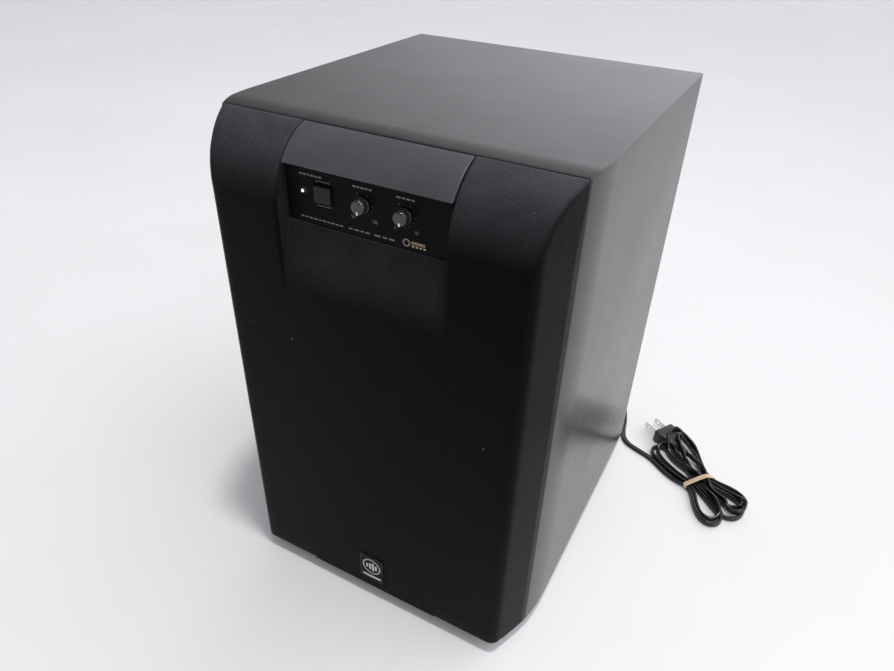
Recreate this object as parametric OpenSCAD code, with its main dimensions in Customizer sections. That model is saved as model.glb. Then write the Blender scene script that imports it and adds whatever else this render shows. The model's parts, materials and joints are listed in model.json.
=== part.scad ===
// Compact powered subwoofer: box cabinet, removable cloth grille, front controls, rear amplifier.
// X runs to the right as seen from the front, Y to the rear, Z up. The floor is z = 0.

/* [Cabinet] */
// Outside width of the cabinet
cab_w = 238; // [230:1:250]
// Height of the cabinet without its feet
cab_h = 350; // [346:1:360]
// Depth from the front of the grille to the back of the cabinet
cab_d = 274; // [266:1:290]
// Radius of the rounded front edge at the top
top_r = 44; // [42:1:48]
// Thickness of the top, side and bottom boards
board_t = 12; // [11:1:14]
// Thickness of the front baffle
baffle_t = 15; // [14:1:16]
// Height of the feet
foot_h = 11; // [10:1:14]

/* [Grille] */
// Depth of the grille in front of the cabinet
grille_d = 31.5; // [31:0.5:33]
// Thickness of the stretched cloth
cloth_t = 0.8; // [0.7:0.1:1]
// Wall thickness of the grille frame
frame_t = 3; // [2.5:0.5:3.5]
// Gap between the grille and the cabinet
seam_gap = 0.8; // [0.6:0.1:1]
// How far the side faces of the grille come in towards the front
chamfer_in = 11.7; // [10:0.1:13]

/* [Controls] */
// Half the width of the hood over the controls
hood_hw = 54; // [53:0.5:55]
// Depth of the control panel behind the front of the grille
panel_depth = 10.5; // [10:0.5:11]
// Height of the centres of the controls
control_z = 326.8; // [326:0.1:328]
// Diameter of each knob
knob_d = 9.4; // [9:0.2:11]
// How far a knob stands out of the panel
knob_l = 6; // [5:0.5:7]

/* [Woofer] */
// Height of the woofer's centre
woofer_z = 190; // [188:1:192]
// Radius of the woofer's flange
flange_r = 83; // [82:1:84]
// Height of the port's centre
port_z = 68; // [66:1:69]
// Inside radius of the port
port_r = 27; // [25:1:27]
// Length of the port tube
port_l = 118; // [90:1:120]

/* [Lead] */
// Width of the flat lead
lead_w = 5.2; // [5:0.1:5.6]
// Thickness of the flat lead
lead_h = 2.8; // [2.6:0.1:3]

/* [Hidden] */
$fn = 64;
eps = 1;

// Main planes. The heat sink stands out of the back as far as the badge needs to keep the
// middle of the depth at y = 0.
fin_proud = 14;
badge_t = 0.6;
badge_hw = 10.4;
badge_h = 26.6;
badge_up = 8.8;
front_y = -(cab_d + fin_proud) / 2;
rear_y = front_y + cab_d;
split_y = front_y + grille_d;
grille_back = split_y - seam_gap;
baffle_back = split_y + baffle_t;
base_z = foot_h;
top_z = base_z + cab_h;
side_x = cab_w / 2;
inner_x = side_x - board_t;
inner_z0 = base_z + board_t;
inner_z1 = top_z - board_t;
rear_t = 12;

// Gentle curve of the side boards towards the front, seen from above
curve_r = 132;
curve_y = split_y + 30.5;
split_x = side_x - curve_r + sqrt(curve_r * curve_r - pow(curve_y - split_y, 2));
chamfer_a = atan(chamfer_in / grille_d);
corner_r = 6;
corner_steps = 5;

// Recess in the grille for the controls, with a ramp that runs out to the front
panel_hw = 53;
panel_y = front_y + panel_depth;
panel_t = 2.2;
panel_z0 = 307.5;
hood_z = 341.3;
hood_t = 2.2;
recess_hw = hood_hw + 0.6;
recess_z = panel_z0 - 0.8;
ramp_z = 262;
ramp_d = panel_depth - 0.6;
ramp_k = ramp_d / (recess_z - ramp_z);
wall_t = 2.2;

// Controls on the panel
led_x = -41.5;
button_x = -28;
high_cut_x = -2;
volume_x = 24.5;
button_w = 11.4;
button_h = 10.2;
button_clear = 0.4;
board_y = panel_y + 9.5;
pcb_t = 1.6;
shaft_r = 2;
shaft_gap = 0.05;
bush_r = 3.5;
hole_r = 1.6;
led_r = 1.5;
boss_xs = [-46, 46];
boss_zs = [panel_z0 + 5, hood_z - 5];
boss_r = 2.6;
thread_r = 1.2;
thread_l = 5;
head_r = 2.4;
head_h = 1.8;
board_hw = 49;
board_in = 2.5;
shell_t = 2;
button_back = 1.6;
stem_h = 1.2;
stem_l = 7;
switch_h = 6;
switch_gap = 0.4;
pot_w = 5;
knob_edge = 0.7;
knob_lift = 0.5;
knob_skin = 1.5;
line_w = 0.4;
line_z = 1.2;

// Grille pegs
peg_x = 92;
peg_zs = [42, 190, 294];
peg_r = 3;
peg_gap = 0.35;
socket_r = 5;
socket_l = 10;
peg_l = 8;
peg_tip = 1;
post_r = 5;
post_in = 3;

// Windows in the frame behind the cloth
window_w = 78;
window_d = 8;
window_zs = [[112, 248], [28, 100]];
rib_hw = 6;

// Feet
foot_x = 92;
foot_y = 98;
foot_r = 12;
foot_base = 3;
foot_cup_r = 5;
foot_cup_h = 6;
foot_screw_r = 2;
foot_screw_l = 14;
foot_head_r = 4;
foot_head_h = 2.5;

// Woofer, along its own axis from the face of the baffle
cutout_r = 72;
flange_t = 4;
coil_r = 17.5;
pole_r = 16.5;
vent_r = 5;
magnet_r = 45;
shield_r = 46;
shield_t = 1.5;
gap_r = 18.7;
cone_r = 59.5;
roll_c = 64.5;
roll_r = 5;
roll_t = 1;
roll_steps = 8;
plate_z0 = 52.3;
plate_z1 = 57.3;
magnet_z = 73;
back_z = 78;
bucking_z = 89;
shield_z = 96;
screw_pcr = 79;
cap_r = 23;
cap_h = 8;
cap_t = 0.8;
cap_z = 26.5;
port_wall = 3;
cable_r = 8;
wood_screw_r = 2;
wood_screw_l = 10;
wood_head_r = 3;
wood_head_h = 2;

// Amplifier plate
amp_z0 = 38;
amp_z1 = 272;
amp_hw = 80;
amp_t = 1.5;
amp_rim = 12;
plate_y = rear_y + amp_t;
fin_y = badge_t - front_y;
amp_screw_r = 1.75;
fin_t = 2;
fin_count = 12;
fin_pitch = 6;
fin_z0 = 196;
fin_z1 = 262;
jack_x = 40;
jack_zs = [110, 128, 152];
jack_r = 4.15;
term_x = -38;
term_z = 120;
term_pitch = 13;
term_h = 30;
term_d = 9;
lever_w = 9.6;
lever_l = 17;
lever_pin_r = 1;
lever_y = plate_y + 8.4;
lever_z = term_z + 9;
relief_x = 62;
relief_z = 50;
relief_l = 25.5;
relief_r = 5;
collar_r = 8;
collar_t = 3;
board_gap = 22;
amp_screw_in = 6;
amp_mid_zs = [116, 194];
amp_screw_l = 9;
amp_head_r = 3.3;
amp_head_h = 1.9;
fin_base = 3;
jack_nut_r = 6;
jack_nut_t = 1.4;
jack_out = 8.5;
jack_pin_r = 1.7;
lever_r = 2.4;
lever_t = 2.2;
pin_out = 1.4;

// Route of the lead, from the strain relief to the hank
floor_z = lead_h / 2 + 0.1;
lead_route = [[62, 157, 50], [62, 165, 49.5], [62.5, 174, 46], [64, 183, 38], [67, 190, 27],
  [71, 195.5, 15], [77, 198.5, 6], [86, 199, 2.2], [95, 196.5, floor_z], [103, 190, floor_z],
  [108.5, 181, floor_z], [112, 171, floor_z], [115, 160, floor_z], [117.2, 148, floor_z],
  [120.3, 138, floor_z], [125.5, 131, floor_z], [132, 127.3, floor_z], [139.6, 124.6, floor_z],
  [148, 121.8, floor_z], [156, 117.8, floor_z], [166, 110.5, floor_z], [176, 103.8, floor_z],
  [186, 100, floor_z]];
lead_sides = 8;
hank_o = [200, 107];
hank_a = -42;
hank_z = 0.9;
hank_h = 16;
waist_t = 2.5;
waist_r = 15.5;
band_w = 4.5;
band_t = 0.9;
band_gap = 0.2;
neck_w = band_w + 1;
neck_d = 14;
plug_o = [154, 158.5];
plug_a = -32;
plug_l = 25;
plug_w = 24;
plug_h = 14;
plug_gap = 0.3;
boot_l = 7;
boot_w = 6;
boot_h = 5;
plug_face = 6;
plug_edge = 0.5;
neck_l = 4;
neck_hw = 5;
neck_h = 8;
plug_z = 3;
blade_l = 17;
blade_w = 6.3;
blade_t = 1.5;
blade_x = 6.35;

// A box between two corners
module slab(x0, x1, y0, y1, z0, z1) {
  translate([x0, y0, z0]) cube([x1 - x0, y1 - y0, z1 - z0]);
}

// A cylinder along Y, from y0 to y1
module rod_y(x, z, r, y0, y1) {
  translate([x, y1, z]) rotate([90, 0, 0]) cylinder(h = y1 - y0, r = r);
}

// An outline drawn in X and Z, extruded from y0 to y1
module along_y(y0, y1) {
  translate([0, y1, 0]) rotate([90, 0, 0]) linear_extrude(y1 - y0) children();
}

// An outline drawn in Y and Z, extruded from -half to half
module along_x(half) {
  translate([-half, 0, 0]) rotate([90, 0, 90]) linear_extrude(2 * half) children();
}

// The side outline of the whole cabinet, set in by i, with its rounded top front edge
module rounded_form(i = 0) {
  slab(-side_x - eps, side_x + eps, front_y + i, rear_y, base_z + i, top_z - top_r);
  slab(-side_x - eps, side_x + eps, front_y + top_r, rear_y, base_z + i, top_z - i);
  translate([-side_x - eps, front_y + top_r, top_z - top_r])
    rotate([0, 90, 0]) cylinder(h = cab_w + 2 * eps, r = top_r - i);
}

// The cabinet seen from above, with the gentle curve at the front of each side
module plan_form() {
  slab(-side_x, side_x, curve_y, rear_y, base_z, top_z);
  intersection() {
    slab(-side_x, side_x, split_y, curve_y, base_z, top_z);
    curve_cylinder(-1);
    curve_cylinder(1);
  }
}

module curve_cylinder(s) {
  translate([s * (side_x - curve_r), curve_y, base_z]) cylinder(h = cab_h, r = curve_r, $fn = 128);
}

// A board of the cabinet's shell: its cross-section is mitred at both ends
module shell_board(points) {
  intersection() {
    along_y(split_y, rear_y) polygon(points);
    rounded_form();
    plan_form();
  }
}

module top_panel() {
  color("#4a4a4e") shell_board([[-side_x, top_z], [-inner_x, inner_z1], [inner_x, inner_z1],
    [side_x, top_z]]);
}

module bottom_panel() {
  color("#3a3a3c") difference() {
    shell_board([[-side_x, base_z], [side_x, base_z], [inner_x, inner_z0], [-inner_x, inner_z0]]);
    for (x = [-foot_x, foot_x], y = [-foot_y, foot_y])
      translate([x, y, base_z - eps]) cylinder(h = board_t - 1, r = foot_screw_r);
  }
}

module side_board(s) {
  shell_board([[s * side_x, base_z], [s * side_x, top_z], [s * inner_x, inner_z1],
    [s * inner_x, inner_z0]]);
}

module left_side_panel() {
  color("#3a3a3e") side_board(-1);
}

module right_side_panel() {
  color("#3a3a3e") side_board(1);
}

module front_baffle() {
  color("#2a2a2c") difference() {
    slab(-inner_x, inner_x, split_y, baffle_back, inner_z0, inner_z1);
    rod_y(0, woofer_z, cutout_r, split_y - eps, baffle_back + eps);
    rod_y(0, port_z, port_r + port_wall, split_y - eps, baffle_back + eps);
    rod_y(0, control_z, cable_r, split_y - eps, baffle_back + eps);
    for (x = [-peg_x, peg_x], z = peg_zs) rod_y(x, z, socket_r, split_y - eps, split_y + socket_l);
    at_screws() translate([0, 0, -eps]) cylinder(h = wood_screw_l + 1 + eps, r = wood_screw_r);
  }
}

module rear_panel() {
  color("#2c2c2e") difference() {
    slab(-inner_x, inner_x, rear_y - rear_t, rear_y, inner_z0, inner_z1);
    slab(-amp_hw + amp_rim, amp_hw - amp_rim, rear_y - rear_t - eps, rear_y + eps,
      amp_z0 + amp_rim, amp_z1 - amp_rim);
    at_amp_screws() rod_y(0, 0, amp_screw_r, rear_y - amp_screw_l - 1, rear_y + eps);
  }
}

module cross_brace() {
  color("#b08d5c") slab(-inner_x, inner_x, 4, 22, 176, 206);
}

module acoustic_padding() {
  color("#c9c6bd") slab(-92, 92, -70, 90, inner_z1 - 14, inner_z1);
}

module feet() {
  color("#1c1c1c") for (x = [-foot_x, foot_x], y = [-foot_y, foot_y])
    translate([x, y, 0]) difference() {
      union() {
        cylinder(h = foot_base, r1 = foot_r - 1, r2 = foot_r);
        translate([0, 0, foot_base]) cylinder(h = foot_h - foot_base, r = foot_r);
      }
      translate([0, 0, -eps]) cylinder(h = foot_cup_h + eps, r = foot_cup_r);
      cylinder(h = foot_h + eps, r = foot_screw_r);
    }
}

module foot_screws() {
  color("#8a8a8c") for (x = [-foot_x, foot_x], y = [-foot_y, foot_y])
    translate([x, y, 0]) {
      translate([0, 0, foot_cup_h - foot_head_h]) cylinder(h = foot_head_h, r = foot_head_r);
      translate([0, 0, foot_cup_h]) cylinder(h = foot_screw_l, r = foot_screw_r);
    }
}

module port_tube() {
  wall = port_r + port_wall;
  color("#1e1e20") translate([0, split_y, port_z]) rotate([-90, 0, 0]) rotate_extrude()
    polygon([[port_r + 5, -3], [wall + 6, -3], [wall + 6, 0], [wall, 0], [wall, port_l - 3],
      [wall + 3, port_l], [port_r + 3, port_l], [port_r, port_l - 6], [port_r, 8],
      [port_r + 1, 2], [port_r + 2.6, -1]]);
}

// Controls

module hood_slab(half, z0) {
  slab(-half, half, front_y - eps, grille_back, z0, top_z + eps);
}

module control_hood() {
  color("#2b2b2e") difference() {
    intersection() {
      rounded_form();
      hood_slab(hood_hw, hood_z);
    }
    intersection() {
      rounded_form(hood_t);
      slab(-hood_hw + hood_t, hood_hw - hood_t, front_y, split_y, hood_z + hood_t, top_z);
    }
  }
}

module control_panel() {
  in_y = panel_y + panel_t;
  color("#151516") difference() {
    union() {
      difference() {
        slab(-panel_hw, panel_hw, panel_y, split_y, panel_z0, hood_z);
        slab(-panel_hw + shell_t, panel_hw - shell_t, in_y, split_y + eps, panel_z0 + shell_t,
          hood_z - shell_t);
      }
      for (x = boss_xs, z = boss_zs) rod_y(x, z, boss_r, in_y - 0.5, board_y);
    }
    rod_y(led_x, control_z, hole_r, panel_y - eps, in_y + eps);
    for (x = [high_cut_x, volume_x]) rod_y(x, control_z, bush_r + 0.1, panel_y - eps, in_y + eps);
    slab(button_x - button_w / 2 - button_clear, button_x + button_w / 2 + button_clear,
      panel_y - eps, in_y + eps, control_z - button_h / 2 - button_clear,
      control_z + button_h / 2 + button_clear);
    for (x = boss_xs, z = boss_zs) rod_y(x, z, thread_r, board_y - thread_l, board_y + eps);
  }
}

module control_board() {
  color("#2f6b3a") difference() {
    slab(-board_hw, board_hw, board_y, board_y + pcb_t, panel_z0 + board_in, hood_z - board_in);
    for (x = boss_xs, z = boss_zs) rod_y(x, z, thread_r, board_y - eps, board_y + pcb_t + eps);
  }
}

module control_screws() {
  color("#9a9a9c") for (x = boss_xs, z = boss_zs) {
    rod_y(x, z, thread_r, board_y - thread_l, board_y + pcb_t);
    rod_y(x, z, head_r, board_y + pcb_t, board_y + pcb_t + head_h);
  }
}

module power_led() {
  color("#ff6a3c") {
    rod_y(led_x, control_z, led_r, panel_y - 0.2, board_y);
    translate([led_x, panel_y - 0.2, control_z]) intersection() {
      sphere(r = led_r);
      slab(-led_r - eps, led_r + eps, -led_r - eps, 0, -led_r - eps, led_r + eps);
    }
  }
}

module switch_body() {
  well = stem_h + switch_gap;
  color("#d8d8d4") difference() {
    slab(button_x - switch_h, button_x + switch_h, panel_y + 3.9, board_y, control_z - switch_h,
      control_z + switch_h);
    slab(button_x - well, button_x + well, panel_y + 3, board_y - 0.6, control_z - well,
      control_z + well);
  }
}

module power_button() {
  color("#101011") {
    slab(button_x - button_w / 2, button_x + button_w / 2, panel_y - shell_t,
      panel_y + button_back, control_z - button_h / 2, control_z + button_h / 2);
    slab(button_x - stem_h, button_x + stem_h, panel_y + button_back, panel_y + stem_l,
      control_z - stem_h, control_z + stem_h);
  }
}

module potentiometer(x) {
  color("#7a7f86") difference() {
    union() {
      slab(x - pot_w, x + pot_w, panel_y + panel_t + 0.1, board_y, control_z - pot_w - 1,
        control_z + pot_w);
      rod_y(x, control_z, bush_r, panel_y + 0.2, panel_y + panel_t + 0.1);
    }
    rod_y(x, control_z, shaft_r + shaft_gap, panel_y - eps, board_y - 0.8);
  }
}

module high_cut_pot() {
  potentiometer(high_cut_x);
}

module volume_pot() {
  potentiometer(volume_x);
}

module control_shaft(x) {
  color("#c8c8c8") rod_y(x, control_z, shaft_r, panel_y - knob_l + knob_skin, board_y - 1.2);
}

module high_cut_shaft() {
  control_shaft(high_cut_x);
}

module volume_shaft() {
  control_shaft(volume_x);
}

module control_knob(x) {
  r = knob_d / 2;
  color("#17171a") difference() {
    union() {
      rod_y(x, control_z, r, panel_y - knob_l + knob_edge, panel_y - knob_lift);
      rod_y(x, control_z, r - knob_lift, panel_y - knob_l, panel_y - knob_l + knob_edge);
    }
    rod_y(x, control_z, shaft_r, panel_y - knob_l + knob_skin, panel_y);
    slab(x - line_w, x + line_w, panel_y - knob_l - eps, panel_y - knob_l + line_w,
      control_z + line_z, control_z + r + eps);
  }
}

module high_cut_knob() {
  control_knob(high_cut_x);
}

module volume_knob() {
  control_knob(volume_x);
}

// Grille

function chamfer_x(y, i) = split_x - (split_y - y) * tan(chamfer_a) - i / cos(chamfer_a);
function corner_arc(i) = [for (s = [0 : corner_steps])
  let (t = -chamfer_a - s * (90 - chamfer_a) / corner_steps)
  [chamfer_x(front_y + corner_r, corner_r) + (corner_r - i) * cos(t),
   front_y + corner_r + (corner_r - i) * sin(t)]];
function mirrored(p) = [for (k = [len(p) - 1 : -1 : 0]) [-p[k][0], p[k][1]]];
function grille_half(i, back) = concat([[chamfer_x(back, i), back]], corner_arc(i));

// The outer form of the grille, set in by i and reaching back to back
module grille_form(i, back) {
  intersection() {
    rounded_form(i);
    translate([0, 0, base_z]) linear_extrude(cab_h + eps)
      polygon(concat(grille_half(i, back), mirrored(grille_half(i, back))));
  }
}

// The space for the controls, grown by o: open to the front and the back, with a ramp below
function ramp_y(z, o) = front_y + (z - ramp_z) * ramp_k + o;
module recess_form(o) {
  along_x(recess_hw + o) polygon([[front_y - eps, ramp_z - (eps + o) / ramp_k],
    [ramp_y(recess_z - o, o), recess_z - o], [split_y + eps, recess_z - o],
    [split_y + eps, top_z + eps], [front_y - eps, top_z + eps]]);
}

module grille_windows() {
  for (x = [-window_w - rib_hw, rib_hw], z = window_zs)
    slab(x, x + window_w, front_y - eps, front_y + window_d, z[0], z[1]);
}

module grille_frame() {
  color("#1a1a1b") difference() {
    union() {
      difference() {
        grille_form(cloth_t, grille_back);
        grille_form(cloth_t + frame_t, grille_back + eps);
        grille_windows();
      }
      intersection() {
        recess_form(cloth_t + wall_t);
        grille_form(cloth_t, grille_back);
      }
      for (x = [-peg_x, peg_x], z = peg_zs) rod_y(x, z, post_r, front_y + post_in, grille_back);
    }
    recess_form(cloth_t);
  }
}

module grille_cloth() {
  color("#26262a") difference() {
    union() {
      difference() {
        grille_form(0, grille_back);
        grille_form(cloth_t, grille_back + eps);
      }
      intersection() {
        recess_form(cloth_t);
        grille_form(cloth_t / 2, grille_back);
      }
    }
    recess_form(0);
  }
}

module grille_pegs() {
  color("#d0cfc8") for (x = [-peg_x, peg_x], z = peg_zs) {
    rod_y(x, z, peg_r, grille_back, grille_back + peg_l);
    rod_y(x, z, peg_r - 0.6, grille_back + peg_l, grille_back + peg_l + peg_tip);
  }
}

module grille_sockets() {
  color("#222222") for (x = [-peg_x, peg_x], z = peg_zs) difference() {
    rod_y(x, z, socket_r, split_y, split_y + socket_l);
    rod_y(x, z, peg_r + peg_gap, split_y - eps, split_y + socket_l - 1);
  }
}

module badge() {
  z0 = base_z + badge_up;
  color("#b9babd") slab(-badge_hw, badge_hw, front_y - badge_t, front_y, z0, z0 + badge_h);
}

// Woofer. Local Z runs to the rear from the face of the baffle.

module at_woofer() {
  translate([0, split_y, woofer_z]) rotate([-90, 0, 0]) children();
}

module at_screws() {
  at_woofer() for (k = [0 : 7]) rotate(22.5 + 45 * k) translate([screw_pcr, 0, 0]) children();
}

module ring(points) {
  at_woofer() rotate_extrude() polygon(points);
}

module tube_ring(r0, r1, z0, z1) {
  ring([[r0, z0], [r1, z0], [r1, z1], [r0, z1]]);
}

module basket() {
  color("#3c3f44") difference() {
    ring([[70, -flange_t], [flange_r, -flange_t], [flange_r, 0], [71.5, 0], [71.5, 14], [52, 41],
      [50, 50], [50, plate_z0], [24, plate_z0], [24, 50.3], [48, 50.3], [48.4, 42.8], [44, 42.8],
      [44, 41.2], [50, 41.2], [69.9, 13.6]]);
    at_woofer() for (k = [0 : 5]) rotate(60 * k) translate([45, -15, 18]) cube([30, 30, 20]);
    at_screws() translate([0, 0, -flange_t - eps])
      cylinder(h = flange_t + 2 * eps, r = wood_screw_r);
  }
}

module basket_gasket() {
  color("#202022") tube_ring(70.2, 75.5, -flange_t - 2.6, -flange_t - 1.1);
}

module basket_screws() {
  color("#1a1a1a") at_screws() {
    translate([0, 0, -flange_t - wood_head_h]) cylinder(h = wood_head_h, r = wood_head_r);
    translate([0, 0, -flange_t]) cylinder(h = flange_t + wood_screw_l, r = wood_screw_r);
  }
}

module magnet() {
  color("#4c4c4e") {
    tube_ring(22, magnet_r, plate_z1, magnet_z);
    tube_ring(8, magnet_r - 3, back_z, bucking_z);
  }
}

module front_plate() {
  color("#b9bcc0") tube_ring(gap_r, magnet_r, plate_z0, plate_z1);
}

module back_plate() {
  color("#b9bcc0") ring([[vent_r, plate_z0], [pole_r, plate_z0], [pole_r, magnet_z],
    [magnet_r, magnet_z], [magnet_r, back_z], [vent_r, back_z]]);
}

module magnet_shield() {
  color("#9a9ca0") ring([[shield_r, 56], [shield_r + shield_t, 56], [shield_r + shield_t, shield_z],
    [0, shield_z], [0, shield_z - shield_t], [shield_r, shield_z - shield_t]]);
}

module cone() {
  color("#1b1b1d") ring([[56, -flange_t], [cone_r, -flange_t], [cone_r, 1 - flange_t], [57, -3],
    [coil_r, 33.2], [coil_r, 31.8]]);
}

// Half outline of a shell dome of base radius r, height h and thickness t, rim at cap_z
function dome_arc(big, a, r, steps) = [for (s = [0 : steps])
  [r * sin(a * s / steps), cap_z - cap_h + big - r * cos(a * s / steps)]];
function reversed(p) = [for (k = [len(p) - 1 : -1 : 0]) p[k]];
function dome(r, h, t) = let (big = (r * r + h * h) / (2 * h), a = asin(r / big))
  concat(dome_arc(big, a, big, roll_steps), reversed(dome_arc(big, a, big - t, roll_steps)));

module dust_cap() {
  color("#222224") ring(dome(cap_r, cap_h, cap_t));
}

module voice_coil() {
  color("#b3703a") ring([[17, 28], [coil_r, 28], [coil_r, 50], [18.1, 50], [18.1, 61], [coil_r, 61],
    [coil_r, 62], [17, 62]]);
}

function arc_points(r, from, to) = [for (s = [0 : roll_steps])
  let (a = from + (to - from) * s / roll_steps)
  [roll_c + r * cos(a), -flange_t - r * sin(a)]];

module surround() {
  top = -flange_t - roll_t;
  color("#151515") ring(concat([[56.4, top], [roll_c - roll_r, top]],
    arc_points(roll_r, 170, 10), [[75.5, top], [75.5, -flange_t], [70.1, -flange_t]],
    arc_points(roll_r - roll_t, 5, 175), [[56.4, -flange_t]]));
}

module spider() {
  waves = 4;
  steps = 24;
  r0 = 17.6;
  r1 = 43.9;
  top = [for (s = [0 : steps]) [r0 + (r1 - r0) * s / steps, 39.4 + 1.2 * sin(360 * waves * s / steps)]];
  low = [for (s = [steps : -1 : 0]) top[s] + [0, 0.8]];
  color("#c98f3c") ring(concat(top, low));
}

// Amplifier on the rear plate

module at_amp_screws() {
  x1 = amp_hw - amp_screw_in;
  for (x = [-x1, 0, x1], z = [amp_z0 + amp_screw_in, amp_z1 - amp_screw_in])
    translate([x, 0, z]) children();
  for (x = [-x1, x1], z = amp_mid_zs) translate([x, 0, z]) children();
}

module amp_plate() {
  color("#2a2a2c") difference() {
    slab(-amp_hw, amp_hw, rear_y, plate_y, amp_z0, amp_z1);
    at_amp_screws() rod_y(0, 0, amp_screw_r, rear_y - eps, plate_y + eps);
    rod_y(relief_x, relief_z, relief_r, rear_y - eps, plate_y + eps);
    for (z = jack_zs) rod_y(jack_x, z, jack_r, rear_y - eps, plate_y + eps);
  }
}

module amp_screws() {
  color("#161616") at_amp_screws() {
    rod_y(0, 0, amp_screw_r, rear_y - amp_screw_l, plate_y);
    rod_y(0, 0, amp_head_r, plate_y, plate_y + amp_head_h);
  }
}

module heat_sink() {
  half = (fin_count - 1) * fin_pitch / 2;
  color("#1d1d1f") {
    slab(-half - fin_t / 2, half + fin_t / 2, plate_y, plate_y + fin_base, fin_z0, fin_z1);
    for (k = [0 : fin_count - 1]) translate([k * fin_pitch - half, 0, 0])
      slab(-fin_t / 2, fin_t / 2, plate_y + 2, fin_y, fin_z0, fin_z1);
  }
}

module amp_board() {
  y1 = rear_y - board_gap;
  color("#2f6b3a") slab(-62, 62, y1 - pcb_t, y1, 66, 250);
  color("#c8c8c8") for (x = [-56, 56], z = [72, 244]) rod_y(x, z, 3, y1, rear_y);
}

module transformer() {
  color("#6d5a3a") slab(20, 78, 56, 96, inner_z0, inner_z0 + 48);
  color("#c9a227") slab(30, 68, 42, 56, inner_z0 + 8, inner_z0 + 40);
  color("#c9a227") slab(30, 68, 96, 105, inner_z0 + 8, inner_z0 + 40);
}

module capacitors() {
  y1 = rear_y - board_gap - pcb_t;
  color("#23324f") {
    for (x = [-40, -12]) rod_y(x, 200, 12, y1 - 36, y1);
    for (x = [12, 28, 44], z = [190, 212]) rod_y(x, z, 5, y1 - 14, y1);
  }
}

module input_jacks() {
  color("#d0a640") for (z = jack_zs) difference() {
    union() {
      rod_y(jack_x, z, jack_r, rear_y - 4, plate_y + jack_out);
      rod_y(jack_x, z, jack_nut_r, plate_y, plate_y + jack_nut_t);
    }
    rod_y(jack_x, z, jack_pin_r, plate_y, plate_y + jack_out + 0.5);
  }
}

function lever_x(k) = term_x + (k - 1.5) * term_pitch;

module terminal_block() {
  half = 2 * term_pitch + 1;
  color("#141414") difference() {
    union() {
      slab(term_x - half, term_x + half, plate_y, plate_y + 5, term_z - term_h / 2,
        term_z + term_h / 2);
      for (k = [0 : 4]) translate([lever_x(k) - term_pitch / 2, 0, 0])
        slab(-1.2, 1.2, plate_y + 4, plate_y + term_d + 2, lever_z - 4, lever_z + 4);
    }
    translate([term_x - half - eps, lever_y, lever_z]) rotate([0, 90, 0])
      cylinder(h = 2 * half + 2 * eps, r = lever_pin_r + shaft_gap);
    for (k = [0 : 3]) rod_y(lever_x(k), term_z - 9, 2, plate_y - eps, plate_y + 6);
  }
}

module lever(k) {
  x = lever_x(k);
  color(k % 2 == 0 ? "#b3261e" : "#1b1b1b") {
    translate([x - lever_w / 2, lever_y, lever_z]) rotate([0, 90, 0]) cylinder(h = lever_w, r = lever_r);
    slab(x - lever_w / 2, x + lever_w / 2, lever_y - 0.2, lever_y + lever_t, lever_z - lever_l,
      lever_z);
    translate([x - lever_w / 2 - pin_out, lever_y, lever_z]) rotate([0, 90, 0])
      cylinder(h = lever_w + 2 * pin_out, r = lever_pin_r);
  }
}

module lever_1() {
  lever(0);
}

module lever_2() {
  lever(1);
}

module lever_3() {
  lever(2);
}

module lever_4() {
  lever(3);
}

// Lead, hank and plug

module strain_relief() {
  color("#161616") {
    rod_y(relief_x, relief_z, relief_r, rear_y, plate_y);
    rod_y(relief_x, relief_z, collar_r, plate_y, plate_y + collar_t);
    translate([relief_x, plate_y + collar_t, relief_z]) rotate([-90, 0, 0])
      cylinder(h = relief_l - collar_t, r1 = relief_r + 0.5, r2 = 3.2);
  }
}

function unit(v) = v / norm(v);
function heading(p, k) = unit(p[min(k + 1, len(p) - 1)] - p[max(k - 1, 0)]);
function side_of(d) = unit(cross(d, [0, 0, 1]));
function lead_ring(p, k) = let (d = heading(p, k), s = side_of(d), u = cross(s, d))
  [for (j = [0 : lead_sides - 1]) let (a = 360 * (j + 0.5) / lead_sides)
    p[k] + s * lead_w / 2 * cos(a) + u * lead_h / 2 * sin(a)];

module cord_lead() {
  n = lead_sides;
  last = len(lead_route) - 1;
  rings = [for (k = [0 : last]) each lead_ring(lead_route, k)];
  walls = [for (k = [0 : last - 1], j = [0 : n - 1])
    [k * n + j, k * n + (j + 1) % n, (k + 1) * n + (j + 1) % n, (k + 1) * n + j]];
  color("#111111") polyhedron(rings, concat([[for (j = [n - 1 : -1 : 0]) j]], walls,
    [[for (j = [0 : n - 1]) last * n + j]]));
}

// Places children along (s) and across (t) the hank
module at_hank(s, t) {
  translate([hank_o[0], hank_o[1], hank_z]) rotate(hank_a) translate([s, t, 0]) children();
}

module hank_disc(s, t, r) {
  rotate(hank_a) translate([s, t]) circle(r = r, $fn = 32);
}

module hank_outline() {
  hull() {
    hank_disc(-47, -4, 13);
    hank_disc(-50, 16, 10);
    hank_disc(-24, 17, 8);
    hank_disc(0, waist_t, waist_r);
  }
  hull() {
    hank_disc(0, waist_t, waist_r);
    hank_disc(34, 4, 30);
  }
}

// The band pulls the folds in to the width of the waist
module cord_hank() {
  color("#131313") difference() {
    translate([hank_o[0], hank_o[1], hank_z]) linear_extrude(hank_h) hank_outline();
    at_hank(0, waist_t) for (side = [-1, 1])
      translate([-neck_w / 2, side > 0 ? waist_r : -waist_r - neck_d, -eps])
        cube([neck_w, neck_d, hank_h + 2 * eps]);
    plug_form(plug_gap);
  }
}

module cord_band() {
  half = waist_r + band_gap;
  color("#c9a582") at_hank(-band_w / 2, waist_t) difference() {
    translate([0, -half - band_t, -hank_z])
      cube([band_w, 2 * half + 2 * band_t, hank_z + hank_h + band_t]);
    translate([-eps, -half, 0]) cube([band_w + 2 * eps, 2 * half, hank_h + 0.1]);
  }
}

module at_plug() {
  translate([plug_o[0], plug_o[1], 0]) rotate(plug_a) children();
}

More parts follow.
